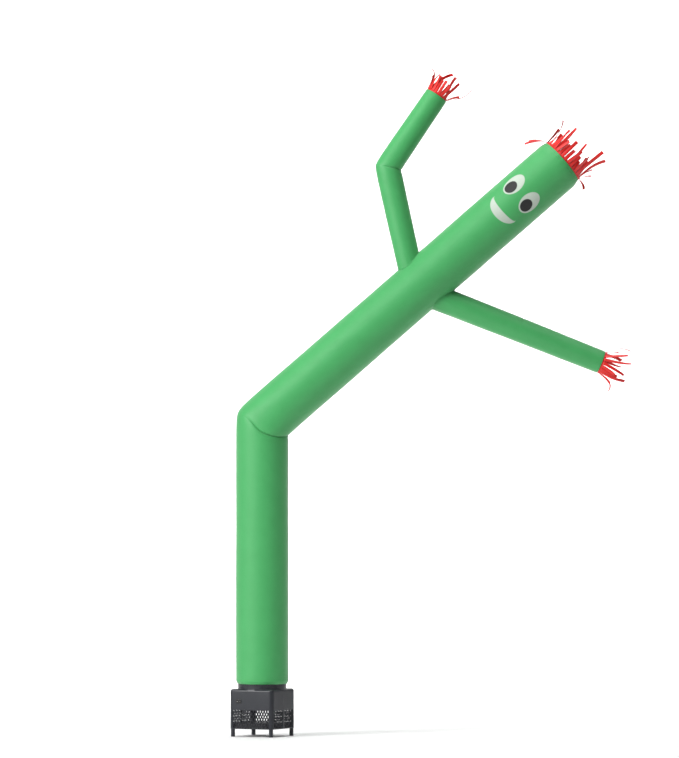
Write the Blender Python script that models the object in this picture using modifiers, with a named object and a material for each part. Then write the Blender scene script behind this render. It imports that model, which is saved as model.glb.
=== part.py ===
"""An inflatable air dancer standing on its blower, built as closed solids. Metres, +Z up."""

import math

import bmesh
import bpy
import numpy as np
from mathutils import Matrix, Vector

# Half-way from the blower's outer corner to the furthest ribbon: the origin's place
CENTRE_X = 0.425

# Clearance between neighbouring pieces, and the thickness of every cloth sheet
GAP = 0.0003
CLOTH = 0.001

# Blower housing: a square box on four legs, turned a little away from the dancer's front
BLOWER_YAW = math.radians(-27.9)
HOUSING_SIDE = 0.125
HOUSING_HEIGHT = 0.102
HOUSING_CORNER = 0.010
HOUSING_TOP_EDGE = 0.006
WALL = 0.0028
LEG_HEIGHT = 0.020
LEG_RADIUS = 0.0053
LEG_INSET = 0.0073
LEG_REACH = 0.025
LEG_SIDES = 16
HALF_SIDE = HOUSING_SIDE / 2
HOUSING_TOP = LEG_HEIGHT + HOUSING_HEIGHT

# Collar that the tube fits over: a neck, a groove for the hem and a lip
COLLAR_RADIUS = 0.062
COLLAR_WALL = 0.0046
NECK_HEIGHT = 0.0115
GROOVE_HEIGHT = 0.0045
GROOVE_DEPTH = 0.0017
LIP_HEIGHT = 0.015
COLLAR_TOP = HOUSING_TOP + NECK_HEIGHT + GROOVE_HEIGHT + LIP_HEIGHT
BORE_RADIUS = COLLAR_RADIUS - COLLAR_WALL
TURNED_STEPS = 48

# Vents: lattice panels in windows in the lower half of each wall
VENT_BOTTOM = LEG_HEIGHT + 0.0025
VENT_TOP = LEG_HEIGHT + 0.0485
VENT_HALF_WIDTH = 0.053
SEAM_STRIP = 0.0035
VENT_THICKNESS = 0.002
LATTICE_PITCH_X = 0.0112
LATTICE_PITCH_Z = 0.0205
LATTICE_OPEN = 0.72
LATTICE_MARGIN = 0.0012

# Weighted floor plate inside the housing
PLATE_THICKNESS = 0.014
PLATE_CORNER_CUT = 0.0165
PLATE_LIFT = 0.0005

# Guard at the foot of the collar, the motor hung from it, and the fan
GUARD_THICKNESS = 0.0025
GUARD_BAR = 0.0016
GUARD_RINGS = (0.0280, 0.0362, 0.0450)
GUARD_HUB_RADIUS = 0.0203
GUARD_HOLE_RADIUS = 0.0110
GUARD_RIM = 0.0026
GUARD_SPOKES = 10
GUARD_HOLE_SIDES = 16
MOTOR_RADIUS = 0.01385
MOTOR_LENGTH = 0.041
MOTOR_SIDES = 32
CAP_RADIUS = 0.0102
CAP_HEIGHT = 0.016
CAP_EDGE = 0.0012
FLANGE_RADIUS = 0.0135
FLANGE_THICKNESS = 0.002
FAN_RADIUS = 0.048
FAN_HUB_RADIUS = 0.012
FAN_HUB_SIDES = 24
FAN_HEIGHT = 0.010
FAN_BLADES = 5
BLADE_THICKNESS = 0.0014
BLADE_CHORD = 0.0195
BLADE_PITCH = math.radians(26)

# Rocker switch on the front wall
SWITCH_X = -0.0348
SWITCH_Z = 0.091
SWITCH_SIZE = (0.015, 0.0105)
SWITCH_WINDOW = (0.0112, 0.0074)
SWITCH_PROUD = 0.0016
ROCKER_CLEARANCE = 0.0004

# The rocker's outline from the wall outwards: shares of its half width and of the frame's
# thickness
ROCKER_OUTLINE = ((-1.0, 0.0), (1.0, 0.0), (1.0, 0.55), (0.1, 0.75), (-1.0, 1.55))

# Main tube: upright from the collar, then bent over to the right
TUBE_RADIUS = 0.0672
HEM_RADIUS = 0.0625
HEAD_RADIUS = 0.0635
HEM_HEIGHT = HOUSING_TOP + NECK_HEIGHT + 0.001
BEND_HEIGHT = 0.8025
UPPER_LENGTH = 1.018
UPPER_SLOPE = math.radians(41.05)
TUBE_SIDES = 28

# The head's open end leans forward: its front reaches further by this share of the radius
HEAD_TILT = 0.10

# Arms: tubes sewn to the upper edge and the lower edge of the bent-over part. Each row is
# a point on the arm's centre line and the arm's radius there.
ARM_SIDES = 16
ARM_GAP = 0.0012
ARM_HOLE = 0.72
ARM_HOLE_SIDES = 16
SHOULDER_EASE = 0.25
LEFT_ARM = (
    ((0.3740, 0.000, 1.2190), 0.0312),
    ((0.3215, 0.008, 1.4572), 0.0325),
    ((0.4465, 0.030, 1.6416), 0.0303),
)
RIGHT_ARM = (
    ((0.4662, 0.000, 1.1165), 0.0330),
    ((0.6672, 0.012, 1.0380), 0.0314),
    ((0.8683, 0.030, 0.9582), 0.0298),
)

# Folds where a tube bends: how far the crease hangs below the mitre, how deep it cuts on
# the inside of the bend, and how much the outside of the bend is rounded off
BODY_FOLD = {"drop": 0.0396, "groove": 0.0060, "round": 0.0045}
ELBOW_FOLD = {"drop": 0.0, "groove": 0.0040, "round": 0.0035}
STRAIGHT = {"drop": 0.0, "groove": 0.0, "round": 0.0}
STRAIGHT_BELOW = math.radians(3)

# How the drop and the groove fade round the tube: powers of the sine and of the nearness to
# the inside of the bend
DROP_SIDE_POWER = 4
DROP_INSIDE_POWER = 0.69
GROOVE_INSIDE_POWER = 1.25

# Each row is a ring near a fold: its distance from it, and its share of the fold's drop,
# groove and rounding
FOLD_ROWS = (
    (0.000, 1.00, 1.00, 1.00),
    (0.005, 0.90, 0.30, 0.72),
    (0.014, 0.72, -0.12, 0.30),
    (0.028, 0.46, 0.00, 0.06),
    (0.050, 0.18, 0.00, 0.00),
    (0.085, 0.00, 0.00, 0.00),
)
RUN_SPACING = 0.13

# Each row is a ring near a tube's end: its distance from it and its share of the radius
HEM_ROWS = ((0.0, HEM_RADIUS / TUBE_RADIUS), (0.0025, 0.945), (0.006, 0.985), (0.011, 1.0))
HEAD_ROWS = ((0.0, HEAD_RADIUS / TUBE_RADIUS), (0.007, 0.974), (0.015, 0.994), (0.024, 1.0))
CUFF_ROWS = ((0.0, 0.985), (0.008, 1.0))
SHOULDER_ROWS = ((0.0, 1.0), (0.020, 1.0))

# Streamers: ribbons cut from a band that is sewn round each open end
RIBBON_THICKNESS = 0.001
RIBBON_STEPS = 6
RIBBON_TAPER = 0.92
BAND_WIDTH = 0.005
HEAD_SEGMENTS = 36
CUFF_SEGMENTS = 20

# Each row is one ribbon: which segment of the band it grows from, its length in
# millimetres, and in degrees its lean outwards at the root, its sway round the rim, its
# bend over its whole length (outwards is positive) and its twist
HEAD_RIBBONS = (
    (0, 30, 88, 0, 60, 50),
    (2, 46, 6, 4, 20, 40),
    (4, 58, -4, 10, -10, -40),
    (6, 40, 4, -6, 20, 30),
    (7, 84, 0, 10, 4, 40),
    (9, 38, 4, 0, 20, 30),
    (11, 46, -6, 0, -20, 30),
    (12, 90, 6, 2, 0, 84),
    (13, 54, 14, 4, 16, 40),
    (15, 62, 4, 0, 26, -40),
    (17, 48, 2, 6, 12, 40),
    (18, 66, 68, 4, 118, 46),
    (19, 68, 60, -2, 118, 40),
    (20, 56, -10, -2, 10, 30),
    (21, 70, 6, -4, 34, 60),
    (22, 62, -4, 0, 0, 30),
    (23, 60, 10, 0, 6, 30),
    (24, 42, 24, 20, -4, 8),
    (25, 36, -8, 4, -10, -20),
    (26, 52, 6, 0, 0, -16),
    (27, 34, -4, 0, -10, 20),
    (28, 46, 24, 2, -16, -16),
    (29, 34, 4, 0, -6, 20),
    (30, 26, -8, 0, -10, 10),
    (31, 54, 16, -20, 10, -30),
    (32, 87, 2, 0, 6, 50),
    (33, 46, -10, -8, -20, 60),
    (34, 82, -2, 2, 42, 40),
    (35, 32, 20, 0, 30, -40),
)
LEFT_CUFF_RIBBONS = (
    (0, 80, 50, 0, -58, 16),
    (2, 40, 10, 4, -20, 40),
    (4, 44, 2, -6, 20, -30),
    (6, 50, 4, 6, -30, 50),
    (8, 82, -14, 0, -64, 50),
    (9, 40, 4, 0, 20, 30),
    (10, 78, -8, 0, 150, 50),
    (11, 34, 8, 4, 30, 40),
    (12, 74, 12, -4, -84, 36),
    (13, 44, 10, 4, 20, 30),
    (14, 36, 2, 0, 14, -20),
    (15, 40, 18, -2, -6, 20),
    (16, 34, 12, 6, 20, 24),
    (17, 54, 10, 12, -6, 12),
    (18, 64, -12, -14, 40, 40),
    (19, 34, 36, 6, 20, 40),
)
RIGHT_CUFF_RIBBONS = (
    (0, 66, 42, 0, -54, 16),
    (1, 32, 22, 4, 10, 40),
    (2, 46, -6, -4, -10, 30),
    (3, 58, 18, -16, 4, 12),
    (4, 70, 4, -8, 16, 44),
    (5, 62, 4, 8, -12, 40),
    (6, 40, 12, 6, 20, -30),
    (7, 48, 8, 2, -24, 40),
    (8, 76, 10, 2, -52, 44),
    (9, 40, 14, 4, 24, 30),
    (10, 74, 2, 0, 150, 40),
    (12, 44, 2, 6, -20, -30),
    (14, 50, 6, 0, 30, 40),
    (16, 56, 2, -6, 20, -50),
    (18, 48, 8, 0, -24, 30),
)

# Colour, roughness and metallic value of each finish
FINISHES = {
    "green_cloth": ((0.075, 0.36, 0.12), 0.75, 0.0),
    "red_ribbon": ((0.72, 0.02, 0.012), 0.55, 0.0),
    "black_plastic": ((0.022, 0.023, 0.025), 0.50, 0.0),
    "switch_plastic": ((0.012, 0.012, 0.013), 0.30, 0.0),
    "white_plastic": ((0.80, 0.80, 0.80), 0.35, 0.0),
    "motor_steel": ((0.50, 0.50, 0.52), 0.35, 1.0),
    "dark_steel": ((0.05, 0.05, 0.055), 0.55, 0.6),
}


def clear_scene():
    for thing in list(bpy.data.objects):
        bpy.data.objects.remove(thing, do_unlink=True)


def new_collection(name):
    collection = bpy.data.collections.new(name)
    bpy.context.scene.collection.children.link(collection)
    return collection


def finish(name):
    """The material of this name, made once from its row in FINISHES."""
    material = bpy.data.materials.get(name)
    if material is None:
        colour, roughness, metallic = FINISHES[name]
        material = bpy.data.materials.new(name)
        material.use_nodes = True
        shader = material.node_tree.nodes["Principled BSDF"]
        shader.inputs["Base Color"].default_value = (*colour, 1.0)
        shader.inputs["Roughness"].default_value = roughness
        shader.inputs["Metallic"].default_value = metallic
    return material


def place(name, data, parent, collection, material=None, location=(0, 0, 0), turn=(0, 0, 0)):
    """An object of this mesh or curve, under its parent, in its collection."""
    thing = bpy.data.objects.new(name, data)
    collection.objects.link(thing)
    thing.parent = parent
    thing.location = location
    thing.rotation_euler = turn
    if material:
        data.materials.append(finish(material))
    else:
        thing.hide_render = True
        thing.display_type = "WIRE"
    return thing


def empty(name, parent, collection, location=(0, 0, 0), turn=(0, 0, 0)):
    """An empty that carries other objects, linked beside them."""
    thing = bpy.data.objects.new(name, None)
    collection.objects.link(thing)
    thing.parent = parent
    thing.location = location
    thing.rotation_euler = turn
    return thing


def mesh_of(name, bm):
    mesh = bpy.data.meshes.new(name)
    bm.to_mesh(mesh)
    bm.free()
    return mesh


def block(name, size, corner=0.0, top_edge=0.0, corner_segments=4, top_segments=3):
    """A box centred on the origin, its uprights rounded by corner and its top by top_edge."""
    bm = bmesh.new()
    bmesh.ops.create_cube(bm, size=1, matrix=Matrix.Diagonal((*size, 1)))
    if corner:
        uprights = [e for e in bm.edges if abs(e.verts[0].co.z - e.verts[1].co.z) > size[2] / 2]
        bmesh.ops.bevel(
            bm, geom=uprights, offset=corner, segments=corner_segments, profile=0.5, affect="EDGES"
        )
    if top_edge:
        top = [e for e in bm.edges if min(v.co.z for v in e.verts) > size[2] / 2 - GAP]
        bmesh.ops.bevel(
            bm, geom=top, offset=top_edge, segments=top_segments, profile=0.5, affect="EDGES"
        )
    return mesh_of(name, bm)


def rod(name, radius, length, sides=TURNED_STEPS):
    """An upright cylinder centred on the origin."""
    bm = bmesh.new()
    bmesh.ops.create_cone(
        bm, cap_ends=True, segments=sides, radius1=radius, radius2=radius, depth=length
    )
    return mesh_of(name, bm)


def profile_mesh(name, points, closed):
    """A bare line of (radius, height) points in the XZ plane, for a Screw modifier."""
    count = len(points)
    edges = [(i, (i + 1) % count) for i in range(count if closed else count - 1)]
    mesh = bpy.data.meshes.new(name)
    mesh.from_pydata([(radius, 0, height) for radius, height in points], edges, [])
    return mesh


def turn_profile(thing, merge):
    """Turns a profile about its own Z axis."""
    screw = thing.modifiers.new("turn", "SCREW")
    screw.steps = screw.render_steps = TURNED_STEPS
    screw.use_merge_vertices = merge
    screw.merge_threshold = 0.00001


def cut(thing, other, operation="DIFFERENCE"):
    boolean = thing.modifiers.new(other.name, "BOOLEAN")
    boolean.operation = operation
    boolean.object = other
    boolean.solver = "EXACT"


def flat_curve(name, outlines, thickness):
    """A flat plate from closed outlines, the first one its edge and the others holes."""
    curve = bpy.data.curves.new(name, "CURVE")
    curve.dimensions = "2D"
    curve.fill_mode = "BOTH"
    curve.extrude = thickness / 2
    for outline in outlines:
        spline = curve.splines.new("POLY")
        spline.points.add(len(outline) - 1)
        for point, (x, y) in zip(spline.points, outline):
            point.co = (x, y, 0, 1)
        spline.use_cyclic_u = True
    return curve


def rectangle(width, height):
    return [
        (-width / 2, -height / 2),
        (width / 2, -height / 2),
        (width / 2, height / 2),
        (-width / 2, height / 2),
    ]


def arc(radius, start, end, count):
    """Points of an arc about the origin, from one angle to another."""
    angles = np.linspace(start, end, count)
    return [(radius * math.cos(a), radius * math.sin(a)) for a in angles]


def circle(radius, sides):
    return arc(radius, 0, 2 * math.pi, sides + 1)[:-1]


def lattice_holes(width, height):
    """Diamond holes in staggered rows, as many as fit whole inside the panel."""
    half_x = LATTICE_PITCH_X * LATTICE_OPEN / 2
    half_z = LATTICE_PITCH_Z * LATTICE_OPEN / 2
    rows = int((height - 2 * LATTICE_MARGIN - 2 * half_z) / (LATTICE_PITCH_Z / 2)) + 1
    low = -(rows - 1) * LATTICE_PITCH_Z / 4
    holes = []
    for row in range(rows):
        room = width - 2 * LATTICE_MARGIN - 2 * half_x
        count = int(room / LATTICE_PITCH_X) + 1
        if row % 2 and count * LATTICE_PITCH_X > room:
            count -= 1
        shift = (row % 2) * LATTICE_PITCH_X / 2
        left = -(int(room / LATTICE_PITCH_X)) * LATTICE_PITCH_X / 2 + shift
        z = low + row * LATTICE_PITCH_Z / 2
        for column in range(count):
            x = left + column * LATTICE_PITCH_X
            holes.append([(x - half_x, z), (x, z - half_z), (x + half_x, z), (x, z + half_z)])
    return holes


def build_housing(blower, solids, cutters):
    """The two mirrored halves: walls, top, half collar and two legs each."""
    centre_z = LEG_HEIGHT + HOUSING_HEIGHT / 2
    inner = HOUSING_SIDE - 2 * WALL
    cavity = place(
        "cavity",
        block("cavity", (inner, inner, HOUSING_HEIGHT), HOUSING_CORNER - WALL),
        blower,
        cutters,
        location=(0, 0, centre_z - WALL),
    )
    ring = [
        (COLLAR_RADIUS, COLLAR_TOP),
        (COLLAR_RADIUS, COLLAR_TOP - LIP_HEIGHT),
        (COLLAR_RADIUS - GROOVE_DEPTH, COLLAR_TOP - LIP_HEIGHT),
        (COLLAR_RADIUS - GROOVE_DEPTH, HOUSING_TOP + NECK_HEIGHT),
        (COLLAR_RADIUS, HOUSING_TOP + NECK_HEIGHT),
        (COLLAR_RADIUS, HOUSING_TOP - WALL / 2),
        (BORE_RADIUS / 2, HOUSING_TOP - WALL / 2),
        (BORE_RADIUS / 2, COLLAR_TOP),
    ]
    collar = place("collar_form", profile_mesh("collar_form", ring, True), blower, cutters)
    turn_profile(collar, False)
    bore = place(
        "bore",
        rod("bore", BORE_RADIUS, 2 * HOUSING_HEIGHT),
        blower,
        cutters,
        location=(0, 0, HOUSING_TOP),
    )
    vent_height = VENT_TOP - VENT_BOTTOM
    vent_z = (VENT_TOP + VENT_BOTTOM) / 2
    long_window = place(
        "long_windows",
        block("long_windows", (2 * VENT_HALF_WIDTH, 2 * HOUSING_SIDE, vent_height)),
        blower,
        cutters,
        location=(0, 0, vent_z),
    )
    short_length = VENT_HALF_WIDTH - SEAM_STRIP
    for side, half in ((-1, "front"), (1, "back")):
        short_window = place(
            f"short_windows_{half}",
            block("short_windows", (2 * HOUSING_SIDE, short_length, vent_height)),
            blower,
            cutters,
            location=(0, side * (SEAM_STRIP + short_length / 2), vent_z),
        )
        other_half = place(
            f"other_half_{half}",
            block("other_half", (2 * HOUSING_SIDE, HOUSING_SIDE, 4 * HOUSING_HEIGHT)),
            blower,
            cutters,
            location=(0, -side * (HALF_SIDE - GAP / 2), HOUSING_TOP),
        )
        size = (HOUSING_SIDE, HOUSING_SIDE, HOUSING_HEIGHT)
        shell = place(
            f"housing_{half}",
            block(f"housing_{half}", size, HOUSING_CORNER, HOUSING_TOP_EDGE),
            blower,
            solids,
            "black_plastic",
            location=(0, 0, centre_z),
        )
        cut(shell, collar, "UNION")
        cut(shell, cavity)
        cut(shell, bore)
        cut(shell, long_window)
        cut(shell, short_window)
        for end in (-1, 1):
            leg = place(
                f"leg_{half}_{'left' if end < 0 else 'right'}",
                rod("leg", LEG_RADIUS, LEG_HEIGHT + LEG_REACH, LEG_SIDES),
                blower,
                cutters,
                location=(
                    end * (HALF_SIDE - LEG_INSET),
                    side * (HALF_SIDE - LEG_INSET),
                    (LEG_HEIGHT + LEG_REACH) / 2,
                ),
            )
            cut(shell, leg, "UNION")
        cut(shell, other_half)


def build_grilles(blower, solids):
    """The lattice panels: one across the front and the back, two on each side wall."""
    height = VENT_TOP - VENT_BOTTOM - 2 * GAP
    middle = (VENT_TOP + VENT_BOTTOM) / 2
    out = HALF_SIDE - VENT_THICKNESS / 2 - GAP
    long_width = 2 * VENT_HALF_WIDTH - 2 * GAP
    short_width = VENT_HALF_WIDTH - SEAM_STRIP - 2 * GAP
    along = SEAM_STRIP + GAP + short_width / 2
    panels = (
        ("grille_front", long_width, (0, -out), 0),
        ("grille_back", long_width, (0, out), 180),
        ("grille_right_front", short_width, (out, -along), 90),
        ("grille_right_back", short_width, (out, along), 90),
        ("grille_left_front", short_width, (-out, -along), -90),
        ("grille_left_back", short_width, (-out, along), -90),
    )
    for name, width, (x, y), facing in panels:
        outlines = [rectangle(width, height), *lattice_holes(width, height)]
        place(
            name,
            flat_curve(name, outlines, VENT_THICKNESS),
            blower,
            solids,
            "black_plastic",
            location=(x, y, middle),
            turn=(math.pi / 2, 0, math.radians(facing)),
        )


def build_floor_plate(blower, solids):
    side = HOUSING_SIDE - 2 * WALL - 2 * GAP
    plate = block("base_plate", (side, side, PLATE_THICKNESS), PLATE_CORNER_CUT, corner_segments=1)
    height = LEG_HEIGHT + PLATE_LIFT + PLATE_THICKNESS / 2
    place("base_plate", plate, blower, solids, "dark_steel", location=(0, 0, height))


def guard_holes():
    """The openings between the guard's rings and spokes."""
    edges = [GUARD_HUB_RADIUS]
    for ring in GUARD_RINGS:
        edges += [ring - GUARD_BAR / 2, ring + GUARD_BAR / 2]
    edges.append(BORE_RADIUS - GAP - GUARD_RIM)
    holes = [circle(GUARD_HOLE_RADIUS, GUARD_HOLE_SIDES)]
    step = 2 * math.pi / GUARD_SPOKES
    for inner, outer in zip(edges[::2], edges[1::2]):
        count = 3 if inner < GUARD_RINGS[0] else 4
        for spoke in range(GUARD_SPOKES):
            first = spoke * step
            inside = math.asin(GUARD_BAR / 2 / inner)
            outside = math.asin(GUARD_BAR / 2 / outer)
            far = arc(outer, first + outside, first + step - outside, count)
            near = arc(inner, first + step - inside, first + inside, count)
            holes.append(far + near)
    return holes


def build_guard_and_motor(blower, solids, cutters):
    """The guard across the collar, the motor under it, the cap over it and the fan."""
    rim = circle(BORE_RADIUS - 2 * GAP, TURNED_STEPS)
    guard_low = HOUSING_TOP
    place(
        "guard",
        flat_curve("guard", [rim, *guard_holes()], GUARD_THICKNESS),
        blower,
        solids,
        "black_plastic",
        location=(0, 0, guard_low + GUARD_THICKNESS / 2),
    )
    motor_top = guard_low - GAP
    can = rod("motor_can", MOTOR_RADIUS, MOTOR_LENGTH, MOTOR_SIDES)
    can_height = motor_top - MOTOR_LENGTH / 2
    place("motor_can", can, blower, solids, "motor_steel", location=(0, 0, can_height))

    flange_low = guard_low + GUARD_THICKNESS + GAP
    flange_top = flange_low + FLANGE_THICKNESS
    cap_profile = [
        (0, flange_top + CAP_HEIGHT),
        (CAP_RADIUS - CAP_EDGE, flange_top + CAP_HEIGHT),
        (CAP_RADIUS, flange_top + CAP_HEIGHT - CAP_EDGE),
        (CAP_RADIUS, flange_top),
        (FLANGE_RADIUS, flange_top),
        (FLANGE_RADIUS, flange_low),
        (0, flange_low),
    ]
    cap_mesh = profile_mesh("motor_cap", cap_profile, False)
    turn_profile(place("motor_cap", cap_mesh, blower, solids, "white_plastic"), True)

    fan_height = motor_top - MOTOR_LENGTH - GAP - FAN_HEIGHT / 2
    fan = place(
        "fan",
        rod("fan", FAN_HUB_RADIUS, FAN_HEIGHT, FAN_HUB_SIDES),
        blower,
        solids,
        "black_plastic",
        location=(0, 0, fan_height),
    )
    reach = FAN_RADIUS - FAN_HUB_RADIUS / 2
    middle = (FAN_RADIUS + FAN_HUB_RADIUS / 2) / 2
    for number in range(FAN_BLADES):
        angle = 2 * math.pi * number / FAN_BLADES
        blade = place(
            f"blade_{number + 1}",
            block("blade", (reach, BLADE_CHORD, BLADE_THICKNESS)),
            blower,
            cutters,
            location=(middle * math.cos(angle), middle * math.sin(angle), fan_height),
            turn=(BLADE_PITCH, 0, angle),
        )
        cut(fan, blade, "UNION")


def build_switch(blower, solids):
    """The rocker switch: a frame on the wall and a rocker with one end pressed in."""
    width, height = SWITCH_WINDOW
    frame = flat_curve(
        "switch_frame", [rectangle(*SWITCH_SIZE), rectangle(width, height)], SWITCH_PROUD
    )
    face = -HALF_SIDE - GAP
    place(
        "switch_frame",
        frame,
        blower,
        solids,
        "switch_plastic",
        location=(SWITCH_X, face - SWITCH_PROUD / 2, SWITCH_Z),
        turn=(math.pi / 2, 0, 0),
    )
    half = width / 2 - ROCKER_CLEARANCE
    outline = [(half * wide, -SWITCH_PROUD * deep) for wide, deep in ROCKER_OUTLINE]
    place(
        "switch_rocker",
        flat_curve("switch_rocker", [outline], height - 2 * ROCKER_CLEARANCE),
        blower,
        solids,
        "switch_plastic",
        location=(SWITCH_X, face, SWITCH_Z),
    )


def unit(vector):
    return vector / np.linalg.norm(vector)


def stations(length, near_end):
    """One row for each ring of a run, from its far end to its fold: its share of the way,
    its share of the radius, and its shares of the fold's drop, groove and rounding."""
    rows = [(distance, scale, 0.0, 0.0, 0.0) for distance, scale in near_end]
    fold = [(length - distance, 1.0, *shares) for distance, *shares in reversed(FOLD_ROWS)]
    start, stop = near_end[-1][0], fold[0][0]
    count = max(2, round((stop - start) / RUN_SPACING) + 1)
    rows += [(distance, 1.0, 0.0, 0.0, 0.0) for distance in np.linspace(start, stop, count)[1:-1]]
    table = np.array(rows + fold)
    table[:, 0] /= length
    return table.T[:, :, None, None]


def tube_frames(start, corner, end):
    """Directions of a bent tube's two runs, and of the side that each bends towards."""
    first = unit(corner - start)
    second = unit(end - corner)
    bend = math.acos(min(1.0, float(first @ second)))
    side = second if bend > STRAIGHT_BELOW else np.array([0.0, 0.0, 1.0])
    inner = unit(side - (side @ first) * first)
    inner_after = unit(inner - (inner @ second) * second)
    return first, second, bend, inner, inner_after


def bent_tube(path, sides, fold, start_hem, end_hem, tilt=0.0):
    """Rings of points along a tube that bends once. A ring's point number is its angle
    from the inside of the bend. Straight lines join each point of the start ring to the
    mitre and on to the end ring. Near the mitre the rings slip back along the first run
    by the drop, and move in along their own spokes by the groove and the rounding. The
    tilt leans the end ring, so that the side before angle 0 reaches further."""
    (start, r0), (corner, r1), (end, r2) = [(np.array(point), r) for point, r in path]
    first, second, bend, inner, inner_after = tube_frames(start, corner, end)
    across, across_after = np.cross(first, inner), np.cross(second, inner_after)
    angle = np.arange(sides) * 2 * math.pi / sides
    cosine, sine = np.cos(angle)[:, None], np.sin(angle)[:, None]
    mitre = inner - first * math.tan(bend / 2)
    crease = corner + r1 * (cosine * mitre + sine * across)
    spoke = cosine * unit(mitre) + sine * across
    inside, outside = (1 + cosine) / 2, (1 - cosine) / 2
    drop = fold["drop"] * np.abs(sine) ** DROP_SIDE_POWER * inside ** DROP_INSIDE_POWER
    groove = fold["groove"] * inside ** GROOVE_INSIDE_POWER
    rounding = fold["round"] * outside ** 2

    def run(middle, ring, hem):
        length = float(np.linalg.norm(corner - middle))
        share, scale, dropped, grooved, rounded = stations(length, hem)
        centre = middle * (1 - share) + corner * share
        points = centre + (ring * (1 - share) + crease * share - centre) * scale
        return points - first * drop * dropped - spoke * (groove * grooved + rounding * rounded)

    lower = run(start, start + r0 * (cosine * inner + sine * across), start_hem)
    leaning = across_after - tilt * second
    upper = run(end, end + r2 * (cosine * inner_after + sine * leaning), end_hem)
    return np.concatenate([lower, upper[-2::-1]])


def tube_mesh(name, rings):
    """Skins rings of equal count with four-sided faces, open at both ends."""
    count, sides = rings.shape[:2]
    number = np.arange(count * sides).reshape(count, sides)
    beside = np.roll(number, -1, axis=1)
    faces = np.stack([number[:-1], beside[:-1], beside[1:], number[1:]], axis=-1).reshape(-1, 4)
    mesh = bpy.data.meshes.new(name)
    mesh.from_pydata(rings.reshape(-1, 3).tolist(), [], faces.tolist())
    mesh.shade_smooth()
    return mesh


def thicken(thing):
    sheet = thing.modifiers.new("cloth", "SOLIDIFY")
    sheet.thickness = CLOTH
    sheet.offset = -1


def meet_cylinder(points, towards, axis_point, axis, radius):
    """Moves each point along its own line until it lies on a cylinder."""
    step = towards - points
    step = step / np.linalg.norm(step, axis=1)[:, None]
    offset = points - axis_point
    offset = offset - (offset @ axis)[:, None] * axis
    flat = step - (step @ axis)[:, None] * axis
    a = (flat * flat).sum(1)
    b = (offset * flat).sum(1)
    c = (offset * offset).sum(1) - radius ** 2
    travel = (-b - np.sqrt(b * b - a * c)) / a
    return points + step * travel[:, None]


def tube_path():
    corner = (0.0, 0.0, BEND_HEIGHT)
    end = (
        UPPER_LENGTH * math.cos(UPPER_SLOPE),
        0.0,
        BEND_HEIGHT + UPPER_LENGTH * math.sin(UPPER_SLOPE),
    )
    return (((0.0, 0.0, HEM_HEIGHT), TUBE_RADIUS), (corner, TUBE_RADIUS), (end, TUBE_RADIUS))


def build_body(dancer, solids, cutters):
    """The main tube, one sheet of cloth, with a hole behind each arm for the air."""
    rings = bent_tube(tube_path(), TUBE_SIDES, BODY_FOLD, HEM_ROWS, HEAD_ROWS, HEAD_TILT)
    body = place("body_tube", tube_mesh("body_tube", rings), dancer, solids, "green_cloth")
    thicken(body)
    for name, arm in (("left", LEFT_ARM), ("right", RIGHT_ARM)):
        (shoulder, radius), (elbow, _), _ = arm
        direction = Vector(elbow) - Vector(shoulder)
        hole = place(
            f"air_hole_{name}",
            rod(f"air_hole_{name}", radius * ARM_HOLE, TUBE_RADIUS, ARM_HOLE_SIDES),
            dancer,
            cutters,
            location=shoulder,
            turn=direction.to_track_quat("Z", "Y").to_euler(),
        )
        cut(body, hole)
    return rings


def build_arm(name, path, fold, dancer, solids):
    """An arm's sleeve, its shoulder cut to lie against the main tube."""
    rings = bent_tube(path, ARM_SIDES, fold, SHOULDER_ROWS, CUFF_ROWS)
    corner = np.array(tube_path()[1][0])
    axis = unit(np.array(tube_path()[2][0]) - corner)
    rings[0] = meet_cylinder(rings[2], rings[0], corner, axis, TUBE_RADIUS + ARM_GAP)
    rings[1] = rings[0] * (1 - SHOULDER_EASE) + rings[2] * SHOULDER_EASE
    thicken(place(name, tube_mesh(name, rings), dancer, solids, "green_cloth"))
    return rings


def rolled(one, other, angle):
    """Two square directions turned in their own plane, the first towards the second."""
    cosine, sine = math.cos(angle), math.sin(angle)
    return one * cosine + other * sine, other * cosine - one * sine


def ribbon_sections(root, axis, radial, around, width, row):
    """Corners of each section along a ribbon. It starts along the axis, leaned outwards and
    swayed round the rim, bends about its own width ever more sharply, and twists."""
    length, lean, sway, bend, twist = row
    step = length / 1000 / RIBBON_STEPS
    along, normal = rolled(axis, radial, math.radians(lean))
    along, around = rolled(along, around, math.radians(sway))
    sharpest = math.radians(bend) * 2 / (RIBBON_STEPS + 1)
    point = root
    sections = []
    for number in range(RIBBON_STEPS):
        turn = sharpest * (number + 1) / RIBBON_STEPS
        along, normal = rolled(along, normal, turn)
        around, normal = rolled(around, normal, math.radians(twist) / RIBBON_STEPS)
        point = point + along * step
        half = around * width * RIBBON_TAPER / 2
        deep = normal * RIBBON_THICKNESS / 2
        sections.append((point - half + deep, point + half + deep,
                         point + half - deep, point - half - deep))
    return sections


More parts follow.
